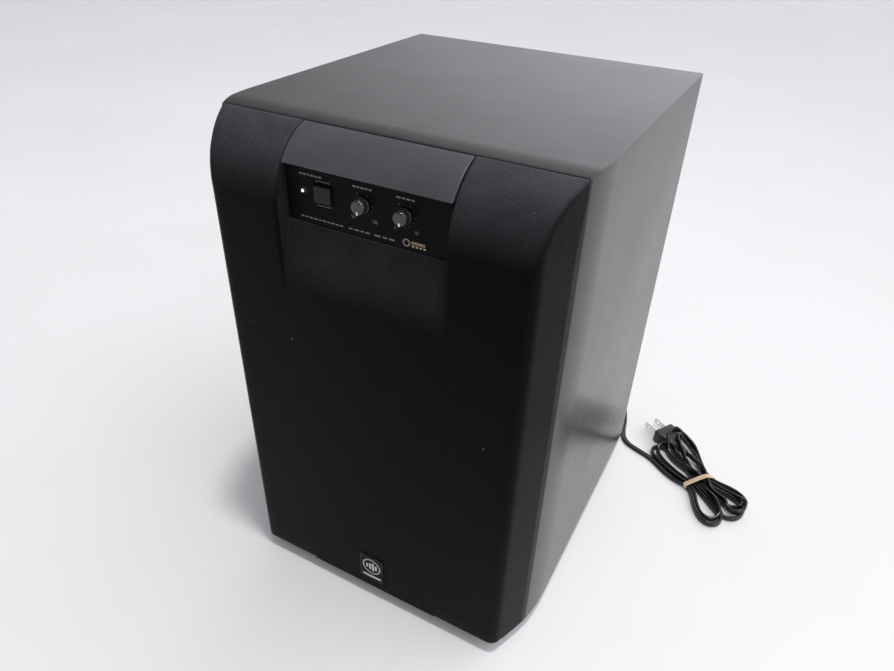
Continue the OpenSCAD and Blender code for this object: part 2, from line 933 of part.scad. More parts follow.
// The plug and its boot, grown by o on all sides but the end of the boot
module plug_form(o) {
  at_plug() {
    hull() {
      translate([-o, -plug_w / 2 - o, plug_edge - o])
        cube([plug_face + 2 * o, plug_w + 2 * o, plug_h - 2 * plug_edge + 2 * o]);
      plug_neck(o);
    }
    hull() {
      plug_neck(o);
      translate([plug_l + boot_l, -boot_w / 2 - o, plug_z - o])
        cube([2, boot_w + 2 * o, boot_h + 2 * o]);
    }
  }
}

module plug_neck(o) {
  translate([plug_l - neck_l, -neck_hw - o, plug_z - o])
    cube([neck_l, 2 * neck_hw + 2 * o, neck_h + 2 * o]);
}

module plug_body() {
  color("#121212") plug_form(0);
}

module plug_blades() {
  color("#b9bcc0") at_plug() for (s = [-1, 1])
    translate([-blade_l, s * blade_x - blade_t / 2, (plug_h - blade_w) / 2])
      cube([blade_l, blade_t, blade_w]);
}

top_panel();
left_side_panel();
right_side_panel();
bottom_panel();
front_baffle();
rear_panel();
cross_brace();
acoustic_padding();
feet();
foot_screws();
port_tube();
control_hood();
control_panel();
control_board();
control_screws();
power_led();
switch_body();
high_cut_pot();
volume_pot();
grille_sockets();
basket();
basket_gasket();
basket_screws();
magnet();
front_plate();
back_plate();
magnet_shield();
amp_plate();
amp_screws();
heat_sink();
amp_board();
transformer();
capacitors();
input_jacks();
terminal_block();
strain_relief();
grille_frame();
grille_cloth();
grille_pegs();
badge();
power_button();
high_cut_knob();
high_cut_shaft();
volume_knob();
volume_shaft();
cone();
dust_cap();
voice_coil();
surround();
spider();
lever_1();
lever_2();
lever_3();
lever_4();
cord_lead();
cord_hank();
cord_band();
plug_body();
plug_blades();
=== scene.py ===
"""Compact powered subwoofer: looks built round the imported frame.

Materials, lamps and modifiers are in metres. Shapes are written in millimetres, and are scaled
when their mesh is made.
"""
import json
import math

import bmesh
import bpy
import numpy as np
from mathutils import Matrix, Vector
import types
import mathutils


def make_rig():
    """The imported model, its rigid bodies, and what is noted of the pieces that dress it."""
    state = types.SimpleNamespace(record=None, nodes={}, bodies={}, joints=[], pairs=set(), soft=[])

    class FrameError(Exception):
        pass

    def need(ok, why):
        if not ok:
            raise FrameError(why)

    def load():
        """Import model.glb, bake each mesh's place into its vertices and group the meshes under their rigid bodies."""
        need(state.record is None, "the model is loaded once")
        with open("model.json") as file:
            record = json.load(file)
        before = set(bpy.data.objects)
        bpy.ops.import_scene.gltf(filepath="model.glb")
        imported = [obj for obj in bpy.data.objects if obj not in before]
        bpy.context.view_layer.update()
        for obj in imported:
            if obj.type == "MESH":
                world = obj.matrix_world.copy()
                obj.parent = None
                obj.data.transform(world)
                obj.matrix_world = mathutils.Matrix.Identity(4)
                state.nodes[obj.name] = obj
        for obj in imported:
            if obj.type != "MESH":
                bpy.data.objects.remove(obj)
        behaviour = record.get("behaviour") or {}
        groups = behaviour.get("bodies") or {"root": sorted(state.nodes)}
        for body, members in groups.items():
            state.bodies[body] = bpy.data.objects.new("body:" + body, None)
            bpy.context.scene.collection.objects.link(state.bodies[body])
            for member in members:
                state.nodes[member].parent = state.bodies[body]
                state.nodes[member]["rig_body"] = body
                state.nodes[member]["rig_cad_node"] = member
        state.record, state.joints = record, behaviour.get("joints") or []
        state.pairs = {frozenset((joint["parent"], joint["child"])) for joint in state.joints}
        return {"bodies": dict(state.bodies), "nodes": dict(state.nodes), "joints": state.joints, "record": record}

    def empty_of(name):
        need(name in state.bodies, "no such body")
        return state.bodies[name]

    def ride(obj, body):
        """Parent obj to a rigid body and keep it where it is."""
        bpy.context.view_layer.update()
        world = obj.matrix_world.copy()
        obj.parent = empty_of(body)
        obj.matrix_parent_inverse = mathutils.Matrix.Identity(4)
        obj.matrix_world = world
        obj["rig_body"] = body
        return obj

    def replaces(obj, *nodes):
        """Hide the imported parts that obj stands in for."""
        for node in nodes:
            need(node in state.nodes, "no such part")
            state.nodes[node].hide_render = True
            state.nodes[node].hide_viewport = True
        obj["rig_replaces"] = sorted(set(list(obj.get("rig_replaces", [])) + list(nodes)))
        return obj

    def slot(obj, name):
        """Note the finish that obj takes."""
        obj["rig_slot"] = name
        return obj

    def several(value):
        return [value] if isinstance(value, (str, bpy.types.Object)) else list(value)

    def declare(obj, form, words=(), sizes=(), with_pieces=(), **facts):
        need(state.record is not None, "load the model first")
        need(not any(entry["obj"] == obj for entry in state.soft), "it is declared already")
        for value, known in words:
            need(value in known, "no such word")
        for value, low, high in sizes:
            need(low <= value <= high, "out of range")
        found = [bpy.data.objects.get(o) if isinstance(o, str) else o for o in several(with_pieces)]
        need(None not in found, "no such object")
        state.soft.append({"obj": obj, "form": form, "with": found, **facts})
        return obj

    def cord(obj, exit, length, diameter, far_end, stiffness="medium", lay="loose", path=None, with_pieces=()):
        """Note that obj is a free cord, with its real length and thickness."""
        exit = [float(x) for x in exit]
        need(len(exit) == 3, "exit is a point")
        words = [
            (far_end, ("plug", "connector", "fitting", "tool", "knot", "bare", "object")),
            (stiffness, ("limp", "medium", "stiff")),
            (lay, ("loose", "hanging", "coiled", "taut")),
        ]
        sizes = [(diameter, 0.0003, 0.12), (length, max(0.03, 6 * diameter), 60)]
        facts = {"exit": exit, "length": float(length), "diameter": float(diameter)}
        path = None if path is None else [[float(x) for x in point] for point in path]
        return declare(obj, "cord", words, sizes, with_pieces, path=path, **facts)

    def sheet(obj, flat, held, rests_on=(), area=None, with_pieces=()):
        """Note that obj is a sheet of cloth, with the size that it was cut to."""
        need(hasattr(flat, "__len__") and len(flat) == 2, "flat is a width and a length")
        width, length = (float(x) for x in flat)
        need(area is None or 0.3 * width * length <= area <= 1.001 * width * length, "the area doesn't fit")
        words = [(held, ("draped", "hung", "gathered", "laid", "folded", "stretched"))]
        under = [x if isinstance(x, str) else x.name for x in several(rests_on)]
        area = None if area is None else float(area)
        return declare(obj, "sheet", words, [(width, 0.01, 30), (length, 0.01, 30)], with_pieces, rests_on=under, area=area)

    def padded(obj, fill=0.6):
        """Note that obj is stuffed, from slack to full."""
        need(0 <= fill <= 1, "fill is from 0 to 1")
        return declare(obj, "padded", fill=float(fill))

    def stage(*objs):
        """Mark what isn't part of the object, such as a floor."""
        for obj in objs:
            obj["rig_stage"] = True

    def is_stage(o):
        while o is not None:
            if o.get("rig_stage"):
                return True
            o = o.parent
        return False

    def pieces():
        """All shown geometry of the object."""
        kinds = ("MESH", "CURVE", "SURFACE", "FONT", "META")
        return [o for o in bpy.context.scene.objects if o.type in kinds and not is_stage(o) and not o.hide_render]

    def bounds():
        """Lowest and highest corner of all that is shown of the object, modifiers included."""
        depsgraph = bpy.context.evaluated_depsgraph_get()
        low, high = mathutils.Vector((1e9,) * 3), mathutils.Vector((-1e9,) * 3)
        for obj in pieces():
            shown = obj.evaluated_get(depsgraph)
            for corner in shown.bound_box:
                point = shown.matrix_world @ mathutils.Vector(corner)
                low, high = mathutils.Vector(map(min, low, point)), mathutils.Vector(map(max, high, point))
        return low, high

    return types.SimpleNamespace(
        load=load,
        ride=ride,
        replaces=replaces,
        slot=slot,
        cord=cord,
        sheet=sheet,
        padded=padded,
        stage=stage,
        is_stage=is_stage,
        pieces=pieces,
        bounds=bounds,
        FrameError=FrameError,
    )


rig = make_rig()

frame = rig.load()
NODES = frame["nodes"]
CAD_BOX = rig.bounds()
MM = 0.001
RNG = np.random.default_rng(7)

# ---- camera
YAW, PITCH, ROLL = (math.radians(a) for a in (27.183, 34.03, 2.043))
CAMERA_AT = (0.1998, -0.4212, 0.4786)
SENSOR_MM, LENS_MM = 36, 27.81261745

forward = Vector((-math.sin(YAW) * math.cos(PITCH), math.cos(YAW) * math.cos(PITCH),
                  -math.sin(PITCH)))
right = Vector((math.cos(YAW), math.sin(YAW), 0))
up = right.cross(forward)
right, up = (math.cos(ROLL) * right + math.sin(ROLL) * up,
             -math.sin(ROLL) * right + math.cos(ROLL) * up)
cam_data = bpy.data.cameras.new("camera")
cam_data.sensor_width, cam_data.lens = SENSOR_MM, LENS_MM
cam_data.clip_start, cam_data.clip_end = 0.02, 50
cam = bpy.data.objects.new("camera", cam_data)
bpy.context.scene.collection.objects.link(cam)
cam.matrix_world = Matrix([(right[k], up[k], -forward[k], CAMERA_AT[k]) for k in range(3)]
                          + [(0, 0, 0, 1)])
bpy.context.scene.camera = cam
bpy.context.scene.view_settings.view_transform = "Standard"


# ---- node helpers
class Graph:
    """A material's node tree with short calls for the nodes it needs."""

    def __init__(self, name):
        self.mat = bpy.data.materials.new(name)
        self.mat.use_nodes = True
        self.tree = self.mat.node_tree
        self.bsdf = self.tree.nodes["Principled BSDF"]
        self.bsdf.inputs["IOR"].default_value = 1.47
        self.coords = {}

    def node(self, kind, **props):
        n = self.tree.nodes.new(kind)
        for k, v in props.items():
            setattr(n, k, v)
        return n

    def link(self, a, b):
        self.tree.links.new(a, b)

    def feed(self, socket, value):
        if isinstance(value, bpy.types.NodeSocket):
            self.link(value, socket)
        else:
            socket.default_value = value

    def coord(self, kind="Object", scale=(1, 1, 1), rot=(0, 0, 0)):
        if kind not in self.coords:
            self.coords[kind] = self.node("ShaderNodeTexCoord").outputs[kind]
        m = self.node("ShaderNodeMapping")
        m.inputs["Scale"].default_value = scale
        m.inputs["Rotation"].default_value = rot
        self.link(self.coords[kind], m.inputs["Vector"])
        return m.outputs[0]

    def normal(self):
        """The surface normal's three parts, in the world."""
        return self.split(self.node("ShaderNodeNewGeometry").outputs["Normal"])

    def noise(self, vector, scale, detail=2.0, rough=0.5):
        n = self.node("ShaderNodeTexNoise")
        self.link(vector, n.inputs["Vector"])
        for key, x in (("Scale", scale), ("Detail", detail), ("Roughness", rough)):
            n.inputs[key].default_value = x
        return n.outputs["Fac"]

    def voronoi(self, vector, scale, feature="F1"):
        n = self.node("ShaderNodeTexVoronoi", feature=feature)
        self.link(vector, n.inputs["Vector"])
        n.inputs["Scale"].default_value = scale
        return n.outputs

    def math(self, op, a, b=0.0):
        n = self.node("ShaderNodeMath", operation=op)
        self.feed(n.inputs[0], a)
        self.feed(n.inputs[1], b)
        return n.outputs[0]

    def times(self, a, b):
        return self.math("MULTIPLY", a, b)

    def plus(self, a, b):
        return self.math("ADD", a, b)

    def wave(self, value, k):
        """Sine of k times a value."""
        return self.math("SINE", self.times(value, k))

    def weave(self, a, b):
        """Two sines, crossed: 0 between the threads and 1 on top of a loop."""
        return self.times(self.times(self.plus(a, 1), self.plus(b, 1)), 0.25)

    def span(self, value, a, b, lo, hi, smooth=False):
        """Maps a to b on to lo to hi, and stays at the ends beyond."""
        kind = "SMOOTHSTEP" if smooth else "LINEAR"
        n = self.node("ShaderNodeMapRange", interpolation_type=kind)
        self.link(value, n.inputs["Value"])
        for key, x in (("From Min", a), ("From Max", b), ("To Min", lo), ("To Max", hi)):
            n.inputs[key].default_value = x
        return n.outputs[0]

    def mix(self, fac, a, b):
        n = self.node("ShaderNodeMix", data_type="RGBA")
        self.feed(n.inputs[0], fac)
        for socket, value in ((n.inputs[6], a), (n.inputs[7], b)):
            fed = isinstance(value, bpy.types.NodeSocket)
            self.feed(socket, value if fed else (*value, 1.0))
        return n.outputs[2]

    def split(self, vector):
        n = self.node("ShaderNodeSeparateXYZ")
        self.link(vector, n.inputs[0])
        return n.outputs

    def bump(self, height, distance, strength=1.0):
        n = self.node("ShaderNodeBump")
        n.inputs["Strength"].default_value = strength
        n.inputs["Distance"].default_value = distance
        self.link(height, n.inputs["Height"])
        return n.outputs[0]

    def set(self, **values):
        for key, value in values.items():
            self.feed(self.bsdf.inputs[key.replace("_", " ")], value)
        return self.mat


def shade(base, k, add=0.0):
    """A colour k times as bright, kept between 0 and 1."""
    return [min(1, max(0, c * k + add)) for c in base]


DUST_GREY = (0.36, 0.36, 0.37)


def moulded(name, base, rough=0.45, grain=0.00003, grain_scale=2600, vary=0.12, spec=0.5,
            wear=0.0, dust=0.0, metal=0.0, coat=0.0, sheen=0.0):
    """Moulded or painted surface: fine grain, patchy gloss, and a little colour variation.

    dust lies on faces that look up, and wear lightens the edges."""
    g = Graph(name)
    v = g.coord()
    blotch = g.noise(v, 14, 4, 0.6)
    fine = g.noise(v, grain_scale, 2, 0.6)
    colour = g.mix(g.span(blotch, 0.3, 0.7, 0, 1), shade(base, 1 - vary), shade(base, 1 + vary))
    speck = g.span(g.noise(v, 900, 2), 0.62, 0.75, 0, 1)
    if dust:
        upward = g.span(g.normal()[2], 0.2, 1.0, 0, dust)
        patchy = g.span(g.noise(v, 60, 5, 0.7), 0.35, 0.75, 0.3, 1)
        colour = g.mix(g.times(upward, patchy), colour, DUST_GREY)
    if wear:
        pointy = g.node("ShaderNodeNewGeometry").outputs["Pointiness"]
        rubbed = g.span(g.noise(v, 120, 3), 0.4, 0.65, 0, 1)
        colour = g.mix(g.times(g.span(pointy, 0.53, 0.6, 0, wear), rubbed), colour,
                       shade(base, 3, 0.03))
    gloss = g.plus(g.span(blotch, 0.2, 0.8, rough - 0.05, rough + 0.05), g.times(speck, 0.04))
    return g.set(Base_Color=colour, Roughness=gloss, Normal=g.bump(fine, grain), Metallic=metal,
                 Specular_IOR_Level=spec, Coat_Weight=coat, Coat_Roughness=0.12,
                 Sheen_Weight=sheen)


def brushed(name, base, rough=0.3, along=(1, 40, 40), metal=1.0, depth=0.000012):
    """Metal with fine streaks in one direction."""
    g = Graph(name)
    streak = g.noise(g.coord(scale=along), 60, 3, 0.7)
    cloud = g.noise(g.coord(), 30, 3)
    colour = g.mix(g.span(streak, 0.3, 0.7, 0, 1), shade(base, 0.86), shade(base, 1.08))
    return g.set(Base_Color=g.mix(g.span(cloud, 0.35, 0.7, 0, 0.2), colour, shade(base, 0.7)),
                 Roughness=g.span(streak, 0.2, 0.8, rough - 0.08, rough + 0.1),
                 Normal=g.bump(streak, depth), Metallic=metal)


def vinyl(name, base=(0.018, 0.0192, 0.0205)):
    """Black vinyl wrap: very fine leather-like emboss, satin, with faint hairline scuffs."""
    g = Graph(name)
    v = g.coord()
    cells = g.voronoi(v, 1500, "SMOOTH_F1")["Distance"]
    fine = g.noise(v, 3200, 2, 0.6)
    blotch = g.noise(v, 9, 2.5, 0.62)
    smear = g.noise(g.coord(scale=(1, 2, 1), rot=(0.3, 0.2, 0.5)), 12, 2, 0.6)
    scuff = g.noise(g.coord(scale=(3, 60, 60), rot=(0.1, 0.4, 0.9)), 40, 2)
    colour = g.mix(g.span(blotch, 0.3, 0.7, 0, 1), shade(base, 0.88), shade(base, 1.12))
    colour = g.mix(g.span(scuff, 0.73, 0.78, 0, 0.05), colour, (0.12, 0.12, 0.125))
    dust = g.times(g.span(g.normal()[2], 0.4, 1.0, 0, 0.06),
                   g.span(g.noise(v, 45, 6, 0.7), 0.35, 0.8, 0.2, 1))
    colour = g.mix(dust, colour, (0.4, 0.4, 0.41))
    gloss = g.plus(g.span(smear, 0.25, 0.75, 0.275, 0.295),
                   g.span(blotch, 0.3, 0.7, -0.02, 0.02))
    height = g.plus(g.times(cells, 0.7), g.times(fine, 0.4))
    return g.set(Base_Color=colour, Roughness=gloss, Normal=g.bump(height, 0.00004, 0.3))


def knit(name, base=(0.0016, 0.0016, 0.0021), pitch=0.00095):
    """Stretched knitted speaker cloth, on UVs in metres: loops, lint, and painted light: faces that look up or
    straight to the side are painted paler, as if lit from above and from the side."""
    g = Graph(name)
    uv = g.coord("UV")
    x, y = g.split(uv)[0:2]
    x = g.plus(x, g.times(g.noise(uv, 35, 3), pitch * 0.8))
    k = 2 * math.pi / pitch
    column = g.wave(x, k)
    row = g.math("SINE", g.plus(g.times(y, k * 0.82), g.times(column, 1.1)))
    loops = g.weave(column, row)
    wide = g.noise(uv, 26, 5, 0.65)
    # Painted shade and highlight: the cloth is darker between the threads and lighter on the tops of the loops.
    colour = g.mix(g.span(loops, 0.0, 0.9, 0, 1), shade(base, 0.35), shade(base, 2.1))
    colour = g.mix(g.span(wide, 0.4, 0.75, 0, 0.35), colour, shade(base, 1.9))
    cell = g.voronoi(uv, 95)
    chosen = g.span(g.split(cell["Color"])[0], 0.86, 0.87, 0, 1)
    spot = g.span(cell["Distance"], 0.03, 0.075, 1, 0)
    lint = g.times(g.times(chosen, spot), g.span(g.noise(uv, 12, 2), 0.45, 0.6, 0.15, 0.8))
    thread = g.voronoi(g.coord("UV", scale=(90, 400, 1), rot=(0, 0, 0.7)), 1.0)["Distance"]
    hair = g.times(g.span(thread, 0.02, 0.05, 1, 0),
                   g.span(g.noise(uv, 60, 1), 0.62, 0.66, 0, 0.5))
    colour = g.mix(g.math("MAXIMUM", lint, hair), colour, (0.20, 0.20, 0.21))
    # Painted light: faces that look up, and faces that look straight to +X, are mixed towards pale grey as if lit from
    # above and from the side, most on the loop tops.
    side_n, _, up_n = g.normal()
    facing = g.plus(g.span(up_n, 0.03, 0.95, 0, 1), g.span(side_n, 0.9, 1.0, 0, 0.3))
    painted_light = g.times(g.times(facing, g.span(loops, 0, 0.9, 0.09, 0.32)),
                   g.span(wide, 0.3, 0.7, 0.75, 1.2))
    height = g.plus(loops, g.times(g.noise(uv, 5200, 2, 0.7), 0.35))
    return g.set(Base_Color=g.mix(painted_light, colour, (0.33, 0.33, 0.37)),
                 Normal=g.bump(height, 0.00014, 0.7), Roughness=g.span(loops, 0, 1, 0.42, 0.33),
                 Specular_IOR_Level=0.05, Sheen_Weight=0.03, Sheen_Roughness=0.25,
                 Sheen_Tint=(0.75, 0.75, 0.85, 1))


def sheath(name, base=(0.0045, 0.0045, 0.005), rough=0.17):
    """Glossy PVC cord sheath with handling marks."""
    g = Graph(name)
    v = g.coord()
    blotch = g.span(g.noise(v, 70, 4, 0.6), 0.35, 0.7, 0, 1)
    return g.set(Base_Color=g.mix(blotch, shade(base, 0.8), shade(base, 1.8)),
                 Roughness=g.span(g.noise(v, 260, 3), 0.3, 0.7, rough - 0.05, rough + 0.14),
                 Normal=g.bump(g.noise(v, 700, 3), 0.00006, 0.6))


def floor_material():
    g = Graph("studio_floor")
    v = g.coord()
    tone = g.span(g.noise(v, 2.2, 4, 0.6), 0.3, 0.7, 0, 1)
    return g.set(Base_Color=g.mix(tone, (0.80, 0.80, 0.80), (0.84, 0.84, 0.845)), Roughness=0.7,
                 Normal=g.bump(g.noise(v, 160, 3), 0.0001, 0.3), Specular_IOR_Level=0.25)


# ---- mesh helpers
BOX_FACES = [(0, 1, 3, 2), (4, 6, 7, 5), (0, 4, 5, 1), (2, 3, 7, 6), (0, 2, 6, 4), (1, 5, 7, 3)]


def link_object(name, me):
    o = bpy.data.objects.new(name, me)
    bpy.context.scene.collection.objects.link(o)
    return o


def finish_mesh(name, verts, faces, mat, body, smooth=True, uv=None, weld=0.0):
    """A piece from points in millimetres, with its faces turned outward, riding its body."""
    me = bpy.data.meshes.new(name)
    me.from_pydata([tuple(MM * c for c in p) for p in verts], [], faces)
    if uv is not None:
        layer = me.uv_layers.new(name="UVMap")
        for poly in me.polygons:
            for li, vi in zip(poly.loop_indices, poly.vertices):
                layer.data[li].uv = uv[vi]
    bm = bmesh.new()
    bm.from_mesh(me)
    if weld:
        bmesh.ops.remove_doubles(bm, verts=bm.verts, dist=weld)
    bmesh.ops.recalc_face_normals(bm, faces=bm.faces)
    for f in bm.faces:
        f.smooth = smooth
    bm.to_mesh(me)
    bm.free()
    o = link_object(name, me)
    me.materials.append(mat)
    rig.ride(o, body)
    return o


def tube_faces(rings, n, caps=True):
    """Faces of a tube: rings of n points each, with flat ends."""
    faces = [(i * n + k, i * n + (k + 1) % n, (i + 1) * n + (k + 1) % n, (i + 1) * n + k)
             for i in range(rings - 1) for k in range(n)]
    if caps:
        faces += [tuple(range(n)), tuple((rings - 1) * n + k for k in range(n))]
    return faces


def weighted_normals(o):
    o.modifiers.new("normals", "WEIGHTED_NORMAL").keep_sharp = True


def sharpen(o, degrees):
    o.data.set_sharp_from_angle(angle=math.radians(degrees))


def bevel(o, width, segments=3, angle=30):
    m = o.modifiers.new("bevel", "BEVEL")
    m.width, m.segments = width, segments
    m.limit_method, m.angle_limit = "ANGLE", math.radians(angle)
    m.harden_normals = False
    weighted_normals(o)


class Build:
    """Collects boxes, rods and lathed shapes in millimetres into one mesh."""

    def __init__(self):
        self.v, self.f = [], []

    def add(self, verts, faces):
        k = len(self.v)
        self.v += [tuple(p) for p in verts]
        self.f += [tuple(k + i for i in face) for face in faces]

    def box(self, x0, x1, y0, y1, z0, z1):
        self.add([(x, y, z) for x in (x0, x1) for y in (y0, y1) for z in (z0, z1)], BOX_FACES)

    def lathe(self, profile, origin, axis=(0, -1, 0), n=48, wave=None):
        """Turns (radius, height) pairs about an axis; wave(angle, radius, height) may change
        the radius."""
        a = Vector(axis).normalized()
        u = (Vector((0, 0, 1)) - a * a.z).normalized()
        w = a.cross(u)
        verts = []
        for r, h in profile:
            for k in range(n):
                t = 2 * math.pi * k / n
                q = wave(t, r, h) if wave else r
                verts.append(Vector(origin) + a * h + (u * math.cos(t) + w * math.sin(t)) * q)
        faces = tube_faces(len(profile), n, caps=False)
        for i in (0, len(profile) - 1):
            if profile[i][0] > 1e-6:
                faces.append(tuple(i * n + k for k in range(n)))
        self.add(verts, faces)

    def strip(self, points, width, y, thick=0.06, cap=0.15):
        """A flat printed line in the XZ plane through points, from y to y - thick; each piece
        runs past its ends by cap widths."""
        for (x0, z0), (x1, z1) in zip(points[:-1], points[1:]):
            d = Vector((x1 - x0, z1 - z0)).normalized()
            n = Vector((-d.y, d.x)) * width / 2
            e = d * width * cap
            q = [(x0 - e.x + n.x, z0 - e.y + n.y), (x0 - e.x - n.x, z0 - e.y - n.y),
                 (x1 + e.x - n.x, z1 + e.y - n.y), (x1 + e.x + n.x, z1 + e.y + n.y)]
            v = [(a, y, b) for a, b in q] + [(a, y - thick, b) for a, b in q]
            self.add(v, [(0, 1, 2, 3), (7, 6, 5, 4)] + [(k, k + 4, (k + 1) % 4 + 4, (k + 1) % 4)
                                                        for k in range(4)])

    def make(self, name, mat, body, smooth=True, bevel_w=0.0, seg=2, angle=30):
        o = finish_mesh(name, self.v, self.f, mat, body, smooth, weld=1e-7)
        if bevel_w:
            bevel(o, bevel_w, seg, angle)
        elif smooth:
            sharpen(o, angle)
        return o


def dress(node, mat, width=0.0004, seg=2, angle=28):
    """A CAD node keeps its shape, and gets a finer material and rounded edges as modifiers."""
    o = NODES[node]
    o.data.materials.clear()
    o.data.materials.append(mat)
    for p in o.data.polygons:
        p.use_smooth = True
        p.material_index = 0
    w = o.modifiers.new("weld", "WELD")
    w.merge_threshold = 1e-6
    if width:
        d = o.modifiers.new("planar", "DECIMATE")
        d.decimate_type, d.angle_limit = "DISSOLVE", math.radians(0.3)
        bevel(o, width, seg, angle)
    else:
        weighted_normals(o)


# ---- materials
VINYL = vinyl("black_vinyl")
CLOTH = knit("grille_knit")
HOOD = moulded("hood_plastic", (0.052, 0.053, 0.058), 0.36, 0.00002, 3000, 0.10, dust=0.05,
               wear=0.25)
PANEL = moulded("panel_black", (0.003, 0.003, 0.0032), 0.5, 0.00001, 2600, 0.1, spec=0.07,
                dust=0.005)
INK = moulded("label_ink", (0.15, 0.135, 0.12), 0.55, 0.00001, 1800, 0.2)
FAINT = moulded("scale_ink", (0.10, 0.098, 0.092), 0.55, 0.00001, 1800, 0.2)
GOLD_INK = moulded("gold_ink", (0.42, 0.33, 0.22), 0.4, 0.00001, 1800, 0.15, metal=0.4)
KNOB = moulded("knob_plastic", (0.016, 0.016, 0.018), 0.2, 0.00001, 2500, 0.12, coat=0.5)
WHITE = moulded("pointer_white", (0.85, 0.85, 0.83), 0.4, 0.00001, 1500, 0.05)
BUTTON = moulded("button_plastic", (0.007, 0.007, 0.0075), 0.3, 0.00001, 2500, 0.12, spec=0.25)
SHEATH = sheath("cord_sheath")
PLUG = moulded("plug_vinyl", (0.022, 0.022, 0.024), 0.42, 0.00004, 1500, 0.18, wear=0.2)
BLADE = brushed("blade_metal", (0.72, 0.71, 0.68), 0.22, (1, 40, 40))
BAND = moulded("tan_rubber", (0.60, 0.45, 0.30), 0.6, 0.00006, 700, 0.14)
BADGE = brushed("badge_silver", (0.62, 0.63, 0.65), 0.3, (1, 1, 30))
BADGE_BLACK = moulded("badge_field", (0.006, 0.006, 0.007), 0.4, 0.00001, 2500, 0.1, spec=0.08)
RUBBER = moulded("foot_rubber", (0.018, 0.018, 0.018), 0.75, 0.00006, 900, 0.2, spec=0.3, dust=0.1)
FRAME = moulded("grille_plastic", (0.022, 0.022, 0.024), 0.5, 0.00004, 1800, 0.15)
PLATE = moulded("amp_paint", (0.022, 0.022, 0.024), 0.55, 0.0001, 1300, 0.12, wear=0.3)
FINS = brushed("fin_anodised", (0.045, 0.045, 0.05), 0.42, (40, 40, 1), metal=0.6)
SCREW = moulded("black_screw", (0.03, 0.03, 0.032), 0.35, 0.00002, 2500, 0.15, metal=0.5, wear=0.6)
ZINC = brushed("zinc_screw", (0.62, 0.63, 0.65), 0.32, (30, 30, 1))
BOARD = moulded("baffle_board", (0.02, 0.02, 0.021), 0.7, 0.00012, 420, 0.25, spec=0.3)
BARE = moulded("bare_board", (0.42, 0.29, 0.17), 0.8, 0.0002, 380, 0.25, spec=0.2)


# ---- stage
FLOOR_HALF, FLOOR_Z = 6.0, -0.0002
BRIGHT_SIDE = (0.86, 0.44, -0.22)
KEY_AT, KEY_TO, KEY_SIZE, KEY_WATTS = (0.3, -0.22, 2.3), (0.1, 0, 0.1), 0.22, 20.5


def stage():
    """Plain pale floor, a world that is brighter on one side, and a small lamp overhead."""
    me = bpy.data.meshes.new("floor")
    corners = [(-FLOOR_HALF, -FLOOR_HALF), (FLOOR_HALF, -FLOOR_HALF), (FLOOR_HALF, FLOOR_HALF),
               (-FLOOR_HALF, FLOOR_HALF)]
    me.from_pydata([(a, b, FLOOR_Z) for a, b in corners], [], [(0, 1, 2, 3)])
    o = link_object("floor", me)
    me.materials.append(floor_material())
    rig.stage(o)
    world = bpy.data.worlds.new("world")
    bpy.context.scene.world = world
    world.use_nodes = True
    tree = world.node_tree
    sky = tree.nodes["Background"]
    dot = tree.nodes.new("ShaderNodeVectorMath")
    dot.operation = "DOT_PRODUCT"
    dot.inputs[1].default_value = BRIGHT_SIDE
    tree.links.new(tree.nodes.new("ShaderNodeTexCoord").outputs["Generated"], dot.inputs[0])
    ramp = tree.nodes.new("ShaderNodeMapRange")
    ramp.interpolation_type = "SMOOTHSTEP"
    for key, x in (("From Min", -0.56), ("From Max", 0.46), ("To Min", 0.27), ("To Max", 1.6)):
        ramp.inputs[key].default_value = x
    tree.links.new(dot.outputs["Value"], ramp.inputs["Value"])
    sky.inputs[0].default_value = (0.95, 0.965, 1.0, 1)
    tree.links.new(ramp.outputs[0], sky.inputs[1])

    key = bpy.data.lights.new("key", "AREA")
    key.shape, key.size, key.energy, key.color = "DISK", KEY_SIZE, KEY_WATTS, (1.0, 0.99, 0.97)
    lamp = link_object("key", key)
    lamp.location = KEY_AT
    lamp.rotation_euler = (Vector(KEY_TO) - Vector(KEY_AT)).to_track_quat("-Z", "Y").to_euler()


stage()


# ---- the lead, its hank, band and plug
LEAD_ROUTE = [
    (62, 157, 50), (62, 165, 49.5), (62.5, 174, 46), (64, 183, 38), (67, 190, 27), (71, 195.5, 15),
    (77, 198.5, 6), (86, 199, 2.2), (95, 196.5, 1.5), (103, 190, 1.5), (108.5, 181, 1.5),
    (112, 171, 1.5), (115, 160, 1.5), (117.2, 148, 1.5), (120.3, 138, 1.5), (125.5, 131, 1.5),
    (132, 127.3, 1.5), (139.6, 124.6, 1.5), (148, 121.8, 1.5), (156, 117.8, 1.5),
    (166, 110.5, 1.6), (176, 103.8, 2.0), (186, 100, 2.6)]
HANK_O, HANK_A = Vector((200, 107)), math.radians(-42)
HANK_S = Vector((math.cos(HANK_A), math.sin(HANK_A)))
HANK_T = Vector((-math.sin(HANK_A), math.cos(HANK_A)))
PLUG_O, PLUG_A = Vector((154, 158.5)), math.radians(-32)
PLUG_Z = 7.0
